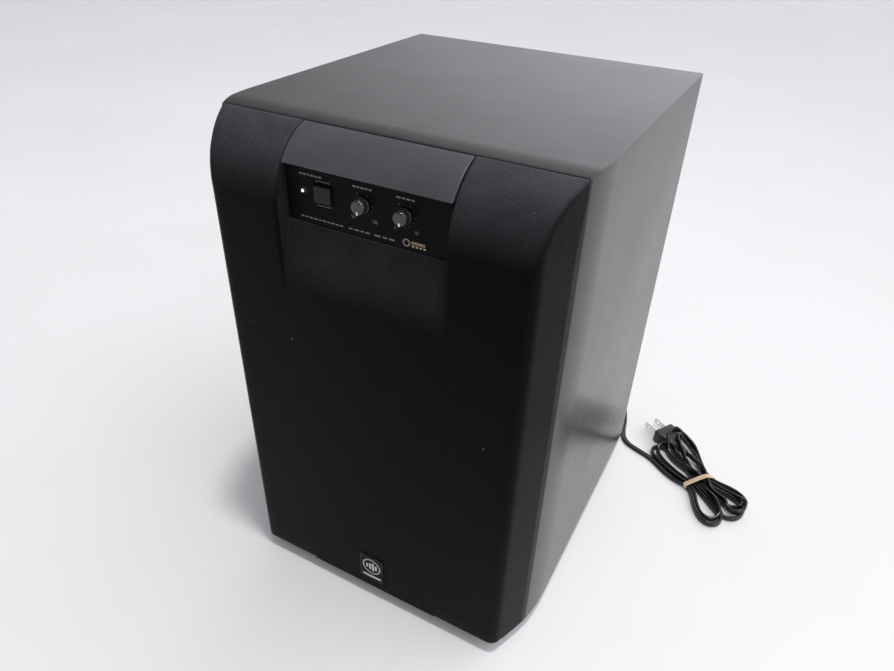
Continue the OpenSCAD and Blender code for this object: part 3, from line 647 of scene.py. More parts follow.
# Folds of the hank: where the strand crosses the waist, its height, and its points along
# and across the hank
FOLDS = [
    (-10.5, 3, [
        (8.3, -11.4), (19.4, -18.1), (30, -22.8), (40.7, -24.2), (47.5, -21.1), (49.2, -14.2),
        (46, -6.4), (38.8, -1.7), (29.2, .1), (19.1, 0.4), (9.8, -.8)]),
    (-1.8, 3, [
        (-16.5, 1.5), (-29.1, 0.5), (-42, 0), (-52, -1.8), (-57, -8), (-53, -15), (-43.6, -18.2),
        (-31.3, -17), (-19.1, -14.9), (-8, -11.2)]),
    (-7.6, 6, [
        (11.4, -11.1), (20.4, -16), (29.5, -19.4), (38.1, -19.8), (43.6, -16.3), (43.9, -9.9),
        (39, -3.9), (30.5, -.7), (19.4, 1.1), (9, 2.1)]),
    (1.1, 7, [
        (-15.5, 5), (-27.8, 5.2), (-40.3, 5.8), (-50.5, 4), (-55.5, -2.5), (-51.5, -9.5),
        (-42, -12.8), (-29.4, -12), (-17.2, -10), (-6.1, -6.3)]),
    (-4.7, 3, [
        (8, -4.3), (18.7, -4.3), (30.1, -5.1), (39.2, -4.2), (46.5, -1), (49, 5.9), (46.9, 15.4),
        (42.1, 21.9), (34.3, 23.5), (26.7, 20.4), (18, 16.1), (8, 9.5)]),
    (6.9, 6, [
        (-8.5, 4.6), (-16.8, .2), (-27.8, -2.5), (-40.1, -3.5), (-52.5, .9), (-60.3, 8.7),
        (-62.9, 17.2), (-57.2, 23.2), (-48.8, 27), (-38.7, 27), (-27.1, 22.7), (-16.7, 18.4),
        (-8, 16.5)]),
    (15.6, 4, [
        (8.6, 20.6), (17.7, 27.3), (26.4, 30.7), (34.5, 31.1), (39.6, 27), (40.5, 19.2),
        (37.2, 11.7), (30.9, 6.4), (21.3, 4.8), (10.3, 4)]),
    (4.0, 4, [
        (-7.2, 5.0), (-18, 6.5), (-28.4, 8.5), (-39.5, 9.0), (-50, 10), (-56.5, 16), (-53.5, 23.5),
        (-43, 26.5), (-28.6, 22.1), (-19.5, 18.3), (-9, 12.5)]),
    (9.8, 8, [
        (12.3, 6.5), (19.7, 8.3), (28.1, 9.7), (35.1, 7.5), (43.3, 5.5), (47, 9.2), (45, 16.5),
        (40, 22.3), (32.3, 24.6), (23.1, 22.8), (15.1, 18.8), (7.2, 14.6)]),
    (12.7, 6, [
        (-8, 14.4), (-16, 15.6), (-24, 15.2)]),
]
CORD_W, CORD_H = 5.2, 2.8
# Room that a strand on edge needs, its middle's height on the floor, and that of the flat lead
ROOM = np.array([2.95, 2.95, 5.35])
EDGE_Z, FLAT_Z = 2.75, 1.55
# The plug seen by the strands: places along it, half its width there, and its top
PLUG_AT, PLUG_HALF, PLUG_TOP = ([-1, 0, 6, 25, 34], [0, 11.5, 11.5, 4.8, 3.2],
                                [13.8, 13.8, 13.6, 9.6, 7.8])
PLUG_MARGIN, PLUG_END = 1.6, 34
RELAX_STEPS, NEIGHBOURS = 360, 5


def catmull(points, step=2.6):
    """A smooth centripetal curve through the points, at even spacing."""
    p = np.array(points, float)
    p = np.vstack([2 * p[0] - p[1], p, 2 * p[-1] - p[-2]])
    out = []
    for i in range(1, len(p) - 2):
        a, b, c, d = p[i - 1:i + 3]
        t0 = 0.0
        t1 = t0 + np.linalg.norm(b - a) ** 0.5
        t2 = t1 + np.linalg.norm(c - b) ** 0.5
        t3 = t2 + np.linalg.norm(d - c) ** 0.5
        for t in np.linspace(t1, t2, 16, endpoint=False):
            a1 = (t1 - t) / (t1 - t0) * a + (t - t0) / (t1 - t0) * b
            a2 = (t2 - t) / (t2 - t1) * b + (t - t1) / (t2 - t1) * c
            a3 = (t3 - t) / (t3 - t2) * c + (t - t2) / (t3 - t2) * d
            b1 = (t2 - t) / (t2 - t0) * a1 + (t - t0) / (t2 - t0) * a2
            b2 = (t3 - t) / (t3 - t1) * a2 + (t - t1) / (t3 - t1) * a3
            out.append((t2 - t) / (t2 - t1) * b1 + (t - t1) / (t2 - t1) * b2)
    out.append(p[-2])
    return even(np.array(out), step)


def run_of(line):
    """Distance along a line to each of its points."""
    return np.r_[0, np.cumsum(np.linalg.norm(np.diff(line, axis=0), axis=1))]


def even(line, step):
    d = run_of(line)
    q = np.linspace(0, d[-1], max(2, int(round(d[-1] / step)) + 1))
    return np.stack([np.interp(q, d, line[:, k]) for k in range(3)], 1)


def hank_point(s, t, z):
    p = HANK_O + HANK_S * s + HANK_T * t
    return (p.x, p.y, z)


def plug_lift(p, floor):
    """Raises the floor under the strands to the plug's top, where they pass over it."""
    c, sn = math.cos(PLUG_A), math.sin(PLUG_A)
    local = (p[:, :2] - np.array(PLUG_O)) @ np.array([[c, -sn], [sn, c]])
    half = np.interp(local[:, 0], PLUG_AT, PLUG_HALF)
    top = np.interp(local[:, 0], PLUG_AT, PLUG_TOP)
    room = half + PLUG_MARGIN - np.abs(local[:, 1])
    over = (local[:, 0] > -1) & (local[:, 0] < PLUG_END) & (room > 0)
    lifted = np.maximum(floor, EDGE_Z + top * np.clip(room / 2.5, 0, 1))
    return np.where(over, lifted, floor)


def cord_path():
    """Lead and hank as one line. The hank's strands stand on edge, and are pushed apart until
    none lies in another; the plug and the lead stay where they are."""
    points = [np.array(p, float) for p in LEAD_ROUTE]
    for t, z, fold in FOLDS:
        points.append(np.array(hank_point(0, t, 3.2)))
        points += [np.array(hank_point(a, b, z)) for a, b in fold]
    axis = np.array([math.cos(PLUG_A), math.sin(PLUG_A), 0])
    boot = np.array([*(PLUG_O + PLUG_END * Vector(axis[:2])), 5.5])
    p = catmull(points + [boot + 4 * axis, boot - 4 * axis])
    lead = catmull(LEAD_ROUTE)
    fixed = len(lead) - 8
    n = len(p)
    want = p.copy()
    near = np.abs(np.arange(n)[:, None] - np.arange(n)[None, :]) <= NEIGHBOURS
    free = np.ones(n, bool)
    free[:fixed] = False
    free[-5:] = False
    to_waist = np.abs((p[:, :2] - np.array(HANK_O)) @ np.array(HANK_S))
    pull = 0.03 + 0.10 * np.clip(1 - to_waist / 12, 0, 1)
    for _ in range(RELAX_STEPS):
        # Strands nearer than their room push each other away
        q = p * (1 / ROOM)
        d = q[:, None, :] - q[None, :, :]
        r = np.sqrt((d ** 2).sum(-1)) + 1e-9
        r[near] = 9
        move = (np.where(r < 1, (1 - r) / r, 0)[:, :, None] * d * 0.5).sum(1) * ROOM
        size = np.linalg.norm(move, axis=1, keepdims=True)
        move *= np.minimum(1, 0.8 / np.maximum(size, 1e-9))
        # The line stays smooth, and resists tight bends
        move[1:-1] += 0.22 * (0.5 * (p[:-2] + p[2:]) - p[1:-1])
        move[2:-2] += 0.10 * ((-p[:-4] + 4 * p[1:-3] + 4 * p[3:-1] - p[4:]) / 6 - p[2:-2])
        chord = p[8:] - p[:-8]
        long = np.linalg.norm(chord, axis=1, keepdims=True)
        stiff = chord / np.maximum(long, 1e-9) * np.clip(15.5 - long, 0, 3) * 0.12
        move[8:] += stiff
        move[:-8] -= stiff
        # It keeps near its traced place, and sinks to the floor or to the plug
        move[:, :2] += pull[:, None] * (want - p)[:, :2]
        move[:, 2] -= 0.03
        p[free] += move[free]
        floor = plug_lift(p, np.interp(np.arange(n), [fixed, fixed + 14], [1.5, EDGE_Z]))
        floor[-8:] = EDGE_Z
        p[:, 2] = np.maximum(p[:, 2], np.where(free, floor, FLAT_Z))
    return even(p, 2.0), lead


def zip_section(n=20):
    """Outline of a flat two-core cord: two round cores with a groove between them."""
    c, r = (CORD_W - CORD_H) / 2, CORD_H / 2
    out = []
    for k in range(n):
        a = 2 * math.pi * k / n
        q = c * abs(math.cos(a)) + math.sqrt(max(0, r * r - (c * math.sin(a)) ** 2))
        q = max(q, 1.02)
        out.append((q * math.cos(a), q * math.sin(a)))
    return out


PATH, LEAD_LINE = cord_path()
PATH_RUN, LEAD_LEN = run_of(PATH), run_of(LEAD_LINE)[-1]


def sweep(path, turn, section, name, mat):
    """Sweeps a section along a path; turn is the angle of its wide side from level."""
    verts = []
    tang = np.gradient(path, axis=0)
    tang /= np.linalg.norm(tang, axis=1, keepdims=True)
    for k, (p, d) in enumerate(zip(path, tang)):
        side = np.cross(d, [0, 0, 1.0])
        side /= np.linalg.norm(side)
        w = side * math.cos(turn[k]) + np.cross(side, d) * math.sin(turn[k])
        v = np.cross(d, w)
        verts += [tuple(p + w * a + v * b) for a, b in section]
    return finish_mesh(name, verts, tube_faces(len(path), len(section)), mat, "cabinet")


def build_cord():
    """The flat lead turns on edge where it enters the hank."""
    turn = np.interp(PATH_RUN, [LEAD_LEN - 16, LEAD_LEN + 20], [0, math.pi / 2])
    cord = sweep(PATH, turn, zip_section(), "mains_cord", SHEATH)
    sharpen(cord, 75)
    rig.replaces(cord, "cord_lead", "cord_hank")
    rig.slot(cord, "cord_rubber")
    return cord


def build_band():
    """Rubber band pulled round the waist of the hank."""
    rel = PATH[:, :2] - np.array(HANK_O)
    s, t = rel @ np.array(HANK_S), rel @ np.array(HANK_T)
    cloud = []
    for k in np.nonzero(np.abs(s) < 2.6)[0]:
        for a in np.linspace(0, 2 * math.pi, 24, endpoint=False):
            rise = 1.2 * np.sign(math.sin(a)) + 1.4 * math.sin(a)
            cloud.append((t[k] + 1.45 * math.cos(a), PATH[k, 2] + rise))
    # The band's line is where tangents on all sides of the strands cut each other, smoothed
    n = 72
    angles = np.linspace(0, 2 * math.pi, n, endpoint=False)
    dirs = np.stack([np.cos(angles), np.sin(angles)], 1)
    reach = (np.array(cloud) @ dirs.T).max(0) + 0.15
    after = [(k + 1) % n for k in range(n)]
    loop = np.array([np.linalg.solve(np.array([dirs[k], dirs[j]]), np.array([reach[k], reach[j]]))
                     for k, j in enumerate(after)])
    for _ in range(3):
        loop = 0.5 * loop + 0.25 * (np.roll(loop, 1, 0) + np.roll(loop, -1, 0))
    out = loop - loop.mean(0)
    out /= np.linalg.norm(out, axis=1, keepdims=True)
    profile = [(-2.1, 0.0), (-2.25, 0.25), (-2.25, 0.6), (-2.0, 0.85), (-1.0, 0.92), (0, 0.82),
               (1.0, 0.92), (2.0, 0.85), (2.25, 0.6), (2.25, 0.25), (2.1, 0.0)]
    verts = []
    for k, (p, d) in enumerate(zip(loop, out)):
        for a, h in profile:
            q = p + d * h
            lean = 0.5 * math.sin(angles[k] * 2 + 0.6)
            verts.append(hank_point(a + lean, q[0], max(0.12, q[1])))
    m = len(profile)
    faces = [(k * m + j, k * m + (j + 1) % m, after[k] * m + (j + 1) % m, after[k] * m + j)
             for k in range(n) for j in range(m)]
    band = finish_mesh("cord_tie", verts, faces, BAND, "cabinet")
    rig.replaces(band, "cord_band")
    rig.slot(band, "band_rubber")
    return band


def plug_place(x, y, z):
    c, s = math.cos(PLUG_A), math.sin(PLUG_A)
    return (PLUG_O.x + c * x - s * y, PLUG_O.y + s * x + c * y, z)


def super_ring(w, h, n, power):
    """A rounded rectangle w by h; more power makes its corners squarer."""
    def bulge(c):
        return math.copysign(abs(c) ** (2 / power), c) / 2

    turn = [2 * math.pi * k / n for k in range(n)]
    return [(w * bulge(math.cos(a)), h * bulge(math.sin(a))) for a in turn]


# Body of the plug: distance from its face, width, height, height of its middle, squareness
PLUG_BODY = [
    (0, 22.6, 12.2, 7.0, 9), (0.3, 23.2, 12.7, 7.0, 9), (0.9, 23.6, 13.0, 7.0, 9),
    (4.5, 23.4, 13.0, 7.0, 8), (7, 22.2, 12.7, 7.0, 7), (9, 20.2, 12.2, 6.9, 6),
    (11.5, 18.6, 11.4, 6.7, 5), (14.5, 17, 10.6, 6.5, 4.5), (17.5, 14.8, 9.6, 6.3, 4),
    (20, 12.4, 8.8, 6.1, 3.4), (22.6, 10.0, 7.8, 6.0, 2.8), (23.2, 9.4, 7.4, 6.0, 2.4)]
BOOT_X, BOOT_STEP = 23.2, 2.6
BLADE_Y, BLADE_HALF, BLADE_X, HOLE_X, HOLE_R = 6.35, 3.15, -17, -12.2, 1.5


def plug_stations():
    """The body, then a boot of four rings that get smaller."""
    out = list(PLUG_BODY)
    for k in range(4):
        for x, w, dw, h, dh, z in ((0.5, 7.6, 0.5, 5.6, 0.4, 5.8), (1.2, 7.5, 0.5, 5.5, 0.4, 5.8),
                                   (1.5, 8.8, 0.6, 6.6, 0.5, 5.7), (2.5, 8.7, 0.6, 6.5, 0.5, 5.6)):
            out.append((BOOT_X + BOOT_STEP * k + x, w - dw * k, h - dh * k, z, 2.3))
    return out + [(34.0, 6.0, 4.2, 5.5, 2.2)]


def build_plug():
    n, stations = 48, plug_stations()
    verts = [plug_place(x, a, z + b) for x, w, h, z, power in stations
             for a, b in super_ring(w, h, n, power)]
    body = finish_mesh("plug_shell", verts, tube_faces(len(stations), n), PLUG, "cabinet")
    sharpen(body, 42)
    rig.replaces(body, "plug_body")
    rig.slot(body, "plug_plastic")

    # Blades with rounded tips and a hole
    half = [(0.2, BLADE_HALF), (BLADE_X + 1.4, BLADE_HALF), (BLADE_X + 0.3, 2.4), (BLADE_X, 1.2)]
    outline = [(a, -b) for a, b in half] + half[::-1]
    hole = [(HOLE_X + HOLE_R * math.cos(a), HOLE_R * math.sin(a))
            for a in np.linspace(0, 2 * math.pi, 16, endpoint=False)]
    blades = Build()
    for middle in (-BLADE_Y, BLADE_Y):
        bm = bmesh.new()
        layers = []
        for y in (middle - 0.75, middle + 0.75):
            rings = [[bm.verts.new(plug_place(a, y, PLUG_Z + b)) for a, b in line]
                     for line in (outline, hole)]
            edges = [bm.edges.new((r[i], r[(i + 1) % len(r)])) for r in rings
                     for i in range(len(r))]
            bmesh.ops.triangle_fill(bm, edges=edges, use_beauty=True)
            layers.append(rings)
        for a, b in zip(*layers):
            for i in range(len(a)):
                j = (i + 1) % len(a)
                bm.faces.new((a[i], a[j], b[j], b[i]))
        bm.verts.index_update()
        blades.add([v.co.copy() for v in bm.verts],
                   [tuple(v.index for v in f.verts) for f in bm.faces])
        bm.free()
    blade = blades.make("plug_prongs", BLADE, "cabinet", bevel_w=0.00018, seg=2)
    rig.replaces(blade, "plug_blades")
    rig.slot(blade, "blade_steel")

    # Grip ribs on the body's narrow sides
    ribs = Build()
    for k in range(5):
        x = 9.5 + 2.1 * k
        w = np.interp(x, [7, 9, 11.5, 14.5, 17.5, 20], [22.2, 20.2, 18.6, 17, 14.8, 12.4])
        for sgn in (-1, 1):
            y = sgn * (w / 2 - 0.6)
            ribs.add([plug_place(x + a, y + sgn * b, 6.6 + c) for a in (-0.45, 0.45)
                      for b in (0, 0.9) for c in (-2.6, 2.6)], BOX_FACES)
    rib = ribs.make("plug_grip", PLUG, "cabinet", bevel_w=0.0003, seg=3)
    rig.slot(rib, "plug_plastic")
    return body, blade, rib


def build_relief():
    """Tapered strain relief: a collar on the plate and a cone of ribs that thins to the cord."""
    b = Build()
    prof = [(0, -1.2), (7.0, -1.2), (7.8, -0.9), (8.0, -0.2), (8.0, 1.6), (7.7, 2.4),
            (6.9, 3.0), (5.5, 3.1)]
    h, r = 3.1, 5.4
    while h < 23:
        prof += [(r - 0.9, h + 0.25), (r - 0.9, h + 1.0), (r, h + 1.25), (r - 0.05, h + 2.3)]
        h += 2.5
        r -= 0.27
    prof += [(3.3, 24.0), (3.1, 25.4), (2.7, 25.5), (0, 25.5)]
    b.lathe(prof, (62, 131.5, 50), axis=(0, 1, 0), n=40)
    o = b.make("lead_relief", SHEATH, "cabinet", angle=35)
    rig.replaces(o, "strain_relief")
    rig.slot(o, "cord_rubber")


cord = build_cord()
band = build_band()
plug = build_plug()
build_relief()
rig.cord(cord, exit=(0.062, 0.157, 0.050), length=round(float(PATH_RUN[-1]) * MM, 3),
        diameter=0.0052, far_end="plug", stiffness="medium", lay="coiled",
        path=[tuple(c * MM for c in p) for p in PATH], with_pieces=[band, *plug])


# ---- cabinet boards, wrapped in vinyl
SIDE_X, INNER_X, FRONT_Y, SPLIT_Y, REAR_Y = 119.0, 107.0, -144.0, -112.5, 130.0
BASE_Z, TOP_Z, ROLL_R = 11.0, 361.0, 44.0
ROLL_Y, ROLL_Z = FRONT_Y + ROLL_R, TOP_Z - ROLL_R
CURVE_R, CURVE_Y = 132.0, -82.0


def half_width(y):
    if y >= CURVE_Y:
        return SIDE_X
    return SIDE_X - CURVE_R + math.sqrt(CURVE_R ** 2 - (CURVE_Y - y) ** 2)


def top_height(y):
    if y >= ROLL_Y:
        return TOP_Z
    return ROLL_Z + math.sqrt(ROLL_R ** 2 - (ROLL_Y - y) ** 2)


EDGE_R, BOARD_T = 0.9, 12


def board_stations():
    """Places along the boards, with how far the rounded end is in there."""
    quarter = np.linspace(0, math.pi / 2, 5)
    ends = [(EDGE_R * (1 - math.sin(a)), EDGE_R * (1 - math.cos(a))) for a in quarter]
    ys = [*np.linspace(SPLIT_Y + 1, CURVE_Y, 22), -60, -30, 0, 30, 60, 90, REAR_Y - 1]
    return ([(SPLIT_Y + a, inset) for a, inset in ends[:0:-1]] + [(y, 0) for y in ys]
            + [(REAR_Y - a, inset) for a, inset in ends[1:]])


def corner(x, z, inset, sx, sz, last):
    """Half of the rounded outer edge, from its middle (45 degrees) to the board's flat."""
    cx, cz, q = x - sx * EDGE_R, z - sz * EDGE_R, EDGE_R - inset
    return [(cx + sx * q * math.cos(math.radians(a)), cz + sz * q * math.sin(math.radians(a)))
            for a in np.linspace(45, last, 5)]


def board(name, node, first, second, last):
    """A board between two outer edges of the cabinet, given as signs along X and Z."""
    verts, rings = [], board_stations()
    for y, inset in rings:
        x = half_width(y)
        outer = [corner(sx * x, top_height(y) if sz > 0 else BASE_Z, inset, sx, sz, last)
                 for sx, sz in (first, second)]
        inner = [(sx * INNER_X, TOP_Z - BOARD_T if sz > 0 else BASE_Z + BOARD_T)
                 for sx, sz in (second, first)]
        ring = outer[0] + outer[1][::-1] + inner
        verts += [(a, y, b) for a, b in ring]
    o = finish_mesh(name, verts, tube_faces(len(rings), len(ring)), VINYL, "cabinet")
    weighted_normals(o)
    sharpen(o, 50)
    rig.replaces(o, node)
    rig.slot(o, "black_vinyl")


board("top_board", "top_panel", (-1, 1), (1, 1), 90)
board("left_board", "left_side_panel", (-1, 1), (-1, -1), 0)
board("right_board", "right_side_panel", (1, 1), (1, -1), 0)
board("bottom_board", "bottom_panel", (-1, -1), (1, -1), 90)

# ---- grille cloth
GRILLE_BACK, CHAMFER = -113.3, math.atan(11.7 / 31.5)
RECESS_X, RAMP_Z, RECESS_Z = 54.6, 262.0, 306.7
RAMP_DEPTH, RAMP_SOFT, WALL_R = 9.9, 24.0, 2.4
TIP_R, TIP_R_LESS, CENTRE_X = 5.5, 3.3, 60


def chamfer_x(y):
    return half_width(SPLIT_Y) - (SPLIT_Y - y) * math.tan(CHAMFER)


def fillet(a, b, c, r, n):
    """Points of a rounded corner at b between the legs to a and c."""
    a, b, c = (np.array(p, float) for p in (a, b, c))
    u, v = (a - b), (c - b)
    lu, lv = np.linalg.norm(u), np.linalg.norm(v)
    u, v = u / lu, v / lv
    half = 0.5 * math.acos(max(-1, min(1, float(u @ v))))
    t = min(r / math.tan(half), 0.48 * lu, 0.48 * lv)
    p, q = b + u * t, b + v * t
    control = 0.42 * b + 0.58 * 0.5 * (p + q)
    return [(1 - s) ** 2 * p + 2 * s * (1 - s) * control + s ** 2 * q
            for s in (k / n for k in range(n + 1))]


def row_side(z, angle):
    """One side (x > 0) of a row of the cloth, from the back edge round to the front."""
    if angle is None:
        ends = (GRILLE_BACK, z), (FRONT_Y, z)
    else:
        rho = min((ROLL_Y - GRILLE_BACK) / math.cos(angle), ROLL_R - 0.4)
        ends = [(ROLL_Y - q * math.cos(angle), ROLL_Z + q * math.sin(angle))
                for q in (rho, ROLL_R)]
    back, tip = ((chamfer_x(y), y, z) for y, z in ends)
    r = TIP_R - TIP_R_LESS * min(1, (angle or 0) / math.radians(30))
    arc = fillet(back, tip, (CENTRE_X, *ends[1]), r, 8)
    flat = [np.array(back) + (arc[0] - np.array(back)) * s for s in np.linspace(0, 1, 9)[:-1]]
    return flat + arc


def cloth_rows():
    """Rows of the cloth from the bottom up: height, angle on the roll, tuck at the hem."""
    hem = [(0.25, 1.6), (0.5, 0.8), (1.1, 0.25), (2.2, 0)]
    zs = [*np.linspace(BASE_Z + 12, RAMP_Z - 6, 22), RAMP_Z - 3, RAMP_Z - 1, RAMP_Z + 1,
          RAMP_Z + 3, *np.linspace(RAMP_Z + 6, RECESS_Z - 3, 12), RECESS_Z - 1.6,
          RECESS_Z - 0.8, RECESS_Z - 0.3, RECESS_Z, *np.linspace(RECESS_Z, ROLL_Z, 5)[1:]]
    top = math.acos((ROLL_Y - GRILLE_BACK) / ROLL_R)
    return ([(BASE_Z + up, None, tuck) for up, tuck in hem] + [(z, None, 0) for z in zs]
            + [(ROLL_Z + ROLL_R * math.sin(a), a, 0) for a in np.linspace(0, top, 31)[1:]])


def ramp_depth(z):
    """Depth of the ramp behind the front face: it starts softly at the bottom."""
    t = max(0.0, z - RAMP_Z)
    t = t * t / (2 * RAMP_SOFT) if t < RAMP_SOFT else t - RAMP_SOFT / 2
    return RAMP_DEPTH * t / (RECESS_Z - RAMP_Z - RAMP_SOFT / 2)


def cloth_row(z, angle, tuck):
    """Points of a row for x > 0: round the side to the recess and down its wall, and the
    ramp's points, where the row has them."""
    y_front = FRONT_Y if angle is None else ROLL_Y - ROLL_R * math.cos(angle)
    half = [np.array(p) for p in row_side(z, angle)]
    half += [np.array([x, y_front, z]) for x in
             np.linspace(half[-1][0], RECESS_X + WALL_R, 9)[1:]]
    opened = z > RECESS_Z - 1e-6
    depth = (GRILLE_BACK - y_front) if opened else ramp_depth(z)
    r = min(WALL_R, max(depth / 2, 0.0))
    turn = np.linspace(0, math.pi / 2, 6)[1:]
    half += [np.array([RECESS_X + WALL_R - WALL_R * math.sin(a),
                       y_front + r * (1 - math.cos(a)), z]) for a in turn]
    bottom = depth if opened else depth - r
    half += [np.array([RECESS_X, y_front + r + (bottom - r) * t, z])
             for t in np.linspace(0, 1, 6)[1:]]
    inner = []
    if not opened or abs(z - RECESS_Z) < 1e-6:
        d = ramp_depth(z)
        r = min(WALL_R, d / 2)
        inner += [np.array([RECESS_X - WALL_R * (1 - math.cos(a)),
                            y_front + d - r + r * math.sin(a), z]) for a in turn]
        inner += [np.array([x, y_front + d, z])
                  for x in np.linspace(RECESS_X - WALL_R, 0, 15)[1:]]
    if tuck:
        for p in half:
            p[1] += tuck if abs(p[1] - FRONT_Y) < 8 else 0
    return y_front, half, inner


def build_cloth():
    """The stretched cloth as rows of points, with UVs that follow its own run in metres."""
    verts, faces, uv = [], [], []

    def vertex(p, u, v):
        verts.append(tuple(float(c) for c in p))
        uv.append((u * MM, v * MM))
        return len(verts) - 1

    def join(lines, sgn):
        for a, b in zip(lines[:-1], lines[1:]):
            for j in range(min(len(a), len(b)) - 1):
                q = (a[j], a[j + 1], b[j + 1], b[j])
                faces.append(q if sgn > 0 else q[::-1])

    grid = []
    run, last = 0.0, None
    for z, angle, tuck in cloth_rows():
        y, half, inner = cloth_row(z, angle, tuck)
        if last is not None:
            run += math.hypot(y - last[0], z - last[1])
        last = (y, z)
        grid.append((half, inner, run))
    for sgn in (1, -1):
        ids = []
        for half, inner, v in grid:
            pts = half + inner
            d = run_of(np.array(pts))
            at = RECESS_X + d[len(half) - 1]
            ids.append([vertex((sgn * p[0], p[1], p[2]), sgn * (at - q), v)
                        for p, q in zip(pts, d)])
        join(ids, sgn)
    # Floor of the recess, from the top edge of the ramp back to the frame
    _, inner, v = [g for g in grid if g[1]][-1]
    xs = [RECESS_X] + [p[0] for p in inner]
    y_top = inner[-1][1]
    for sgn in (1, -1):
        join([[vertex((sgn * x, y_top + y, RECESS_Z), sgn * x, v + y) for x in xs]
              for y in (0, 0.6, 1.8, 8, 14, GRILLE_BACK - y_top)], sgn)
    o = finish_mesh("grille_fabric", verts, faces, CLOTH, "grille", uv=uv, weld=2e-6)
    widest = max(o.data.polygons, key=lambda p: p.area)
    n = widest.normal
    if n.y > 0 or abs(n.x) > 0.9 and n.x * widest.center.x < 0:
        o.data.flip_normals()
    m = o.modifiers.new("cloth", "SOLIDIFY")
    m.thickness, m.offset, m.use_rim = 0.0003, -1, True
    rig.replaces(o, "grille_cloth")
    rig.slot(o, "grille_cloth")
    return o


cloth = build_cloth()
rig.sheet(cloth, flat=(0.30, 0.40), held="stretched", rests_on=["grille_frame"])


# ---- controls
CONTROL_Z, PANEL_Y = 326.8, -133.5
LED_X, BUTTON_X, KNOB_X = -41.5, -28.0, {"high_cut": -2.0, "volume": 24.5}

dress("control_hood", HOOD, 0.0006, 3)
dress("control_panel", PANEL, 0.0003, 2)


def build_knob(name, x):
    """Knob with a domed face, fluted skirt and a raised pointer that carries a white line."""
    r, flutes, top = 4.7, 18, PANEL_Y - 6.0
    prof = [(2.0, 0.5), (r - 0.25, 0.5), (r, 0.75), (r, 1.4), (r - 0.18, 1.6), (r - 0.2, 4.5),
            (r - 0.45, 5.2), (r - 0.9, 5.75), (r - 1.5, 5.95), (r - 2.6, 6.0), (1.0, 6.0),
            (0.0, 6.0)]

    def wave(t, q, h):
        skirt = 1.55 < h < 5.3 and q > 3
        return q - 0.16 * max(0, math.cos(flutes * t)) if skirt else q

    node, body = name + "_knob", name + "_control"
    b = Build()
    b.lathe(prof, (x, PANEL_Y, CONTROL_Z), n=144, wave=wave)
    knob = b.make(node + "_cap", KNOB, body, angle=38)
    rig.replaces(knob, node)
    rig.slot(knob, "knob_plastic")
    line = Build()
    line.box(x - 0.42, x + 0.42, top - 0.12, top + 0.5, CONTROL_Z - 4.1, CONTROL_Z - 2.2)
    mark = line.make(node + "_pointer", WHITE, body, bevel_w=0.00012, seg=2)
    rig.slot(mark, "knob_plastic")


for _name, _x in KNOB_X.items():
    build_knob(_name, _x)


def build_button():
    x, y, z, half = BUTTON_X, PANEL_Y, CONTROL_Z, 5.7
    b = Build()
    b.box(x - half, x + half, y - 2.0, y + 1.6, z - 5.1, z + 5.1)
    b.box(x - 1.2, x + 1.2, y + 1.5, y + 7, z - 1.2, z + 1.2)
    o = b.make("power_button_cap", BUTTON, "power_button", bevel_w=0.0007, seg=4)
    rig.replaces(o, "power_button")
    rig.slot(o, "button_plastic")
    d = Build()
    for up in (-1.6, 0, 1.6):
        d.box(x - 3.6, x + 3.6, y - 2.12, y - 1.6, z + up - 0.22, z + up + 0.22)
    ribs = d.make("power_button_ribs", BUTTON, "power_button", bevel_w=0.0001)
    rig.slot(ribs, "button_plastic")


build_button()


def led_material():
    """A clear dark lens with a painted highlight: a small spot in its middle glows in place of a glint."""
    g = Graph("led_lens")
    v = g.coord()
    facing = g.node("ShaderNodeLayerWeight").outputs["Facing"]
    tone = g.span(g.noise(v, 900, 2), 0.3, 0.7, 0, 1)
    # Painted highlight: emission in a small round spot at the lens's middle.
    x, _, z = g.split(v)
    dx, dz = g.math("SUBTRACT", x, LED_X * MM), g.math("SUBTRACT", z, CONTROL_Z * MM)
    far = g.math("SQRT", g.plus(g.times(dx, dx), g.times(dz, dz)))
    painted_glint = g.span(far, 0.0004, 0.0011, 1.0, 0.0, smooth=True)
    return g.set(Base_Color=g.mix(tone, (0.05, 0.05, 0.055), (0.08, 0.08, 0.085)),
                 Roughness=g.span(facing, 0, 1, 0.06, 0.2),
                 Normal=g.bump(g.noise(v, 1400, 2), 0.00001), Emission_Strength=3.0,
                 Emission_Color=g.mix(painted_glint, (0.0, 0.0, 0.0), (1.0, 0.97, 0.93)))


LED_AT = (LED_X, PANEL_Y, CONTROL_Z)
led = Build()
led.lathe([(1.5, -9.0), (1.5, 0.1), (1.42, 0.75), (1.15, 1.25), (0.7, 1.58), (0.25, 1.69),
           (0, 1.7)], LED_AT, n=28)
lens = led.make("pilot_lens", led_material(), "cabinet", angle=50)
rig.replaces(lens, "power_led")
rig.slot(lens, "led_lens")
ring = Build()
ring.lathe([(1.65, 0.0), (1.65, 0.12), (1.8, 0.3), (2.2, 0.34), (2.45, 0.2), (2.55, 0.0)],
           LED_AT, n=36)
bezel = ring.make("pilot_bezel", BUTTON, "cabinet", angle=60)
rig.slot(bezel, "panel_black")


# Printing on the panel: strokes only, no words. Labels are rows of dashes; digits are numbers.
DIGITS = {
    "0": [(0, 0, 1, 0), (1, 0, 1, 2), (1, 2, 0, 2), (0, 2, 0, 0)],
    "1": [(0.5, 0, 0.5, 2), (0.5, 2, 0.15, 1.6)],
    "5": [(1, 2, 0, 2), (0, 2, 0, 1.1), (0, 1.1, 1, 1.1), (1, 1.1, 1, 0), (1, 0, 0, 0)],
}
INK_Y, INK_UP = PANEL_Y - 0.005, 0.03


def circle(x, z, r, n):
    return [(x + r * math.cos(t), z + r * math.sin(t)) for t in np.linspace(0, 2 * math.pi, n)]


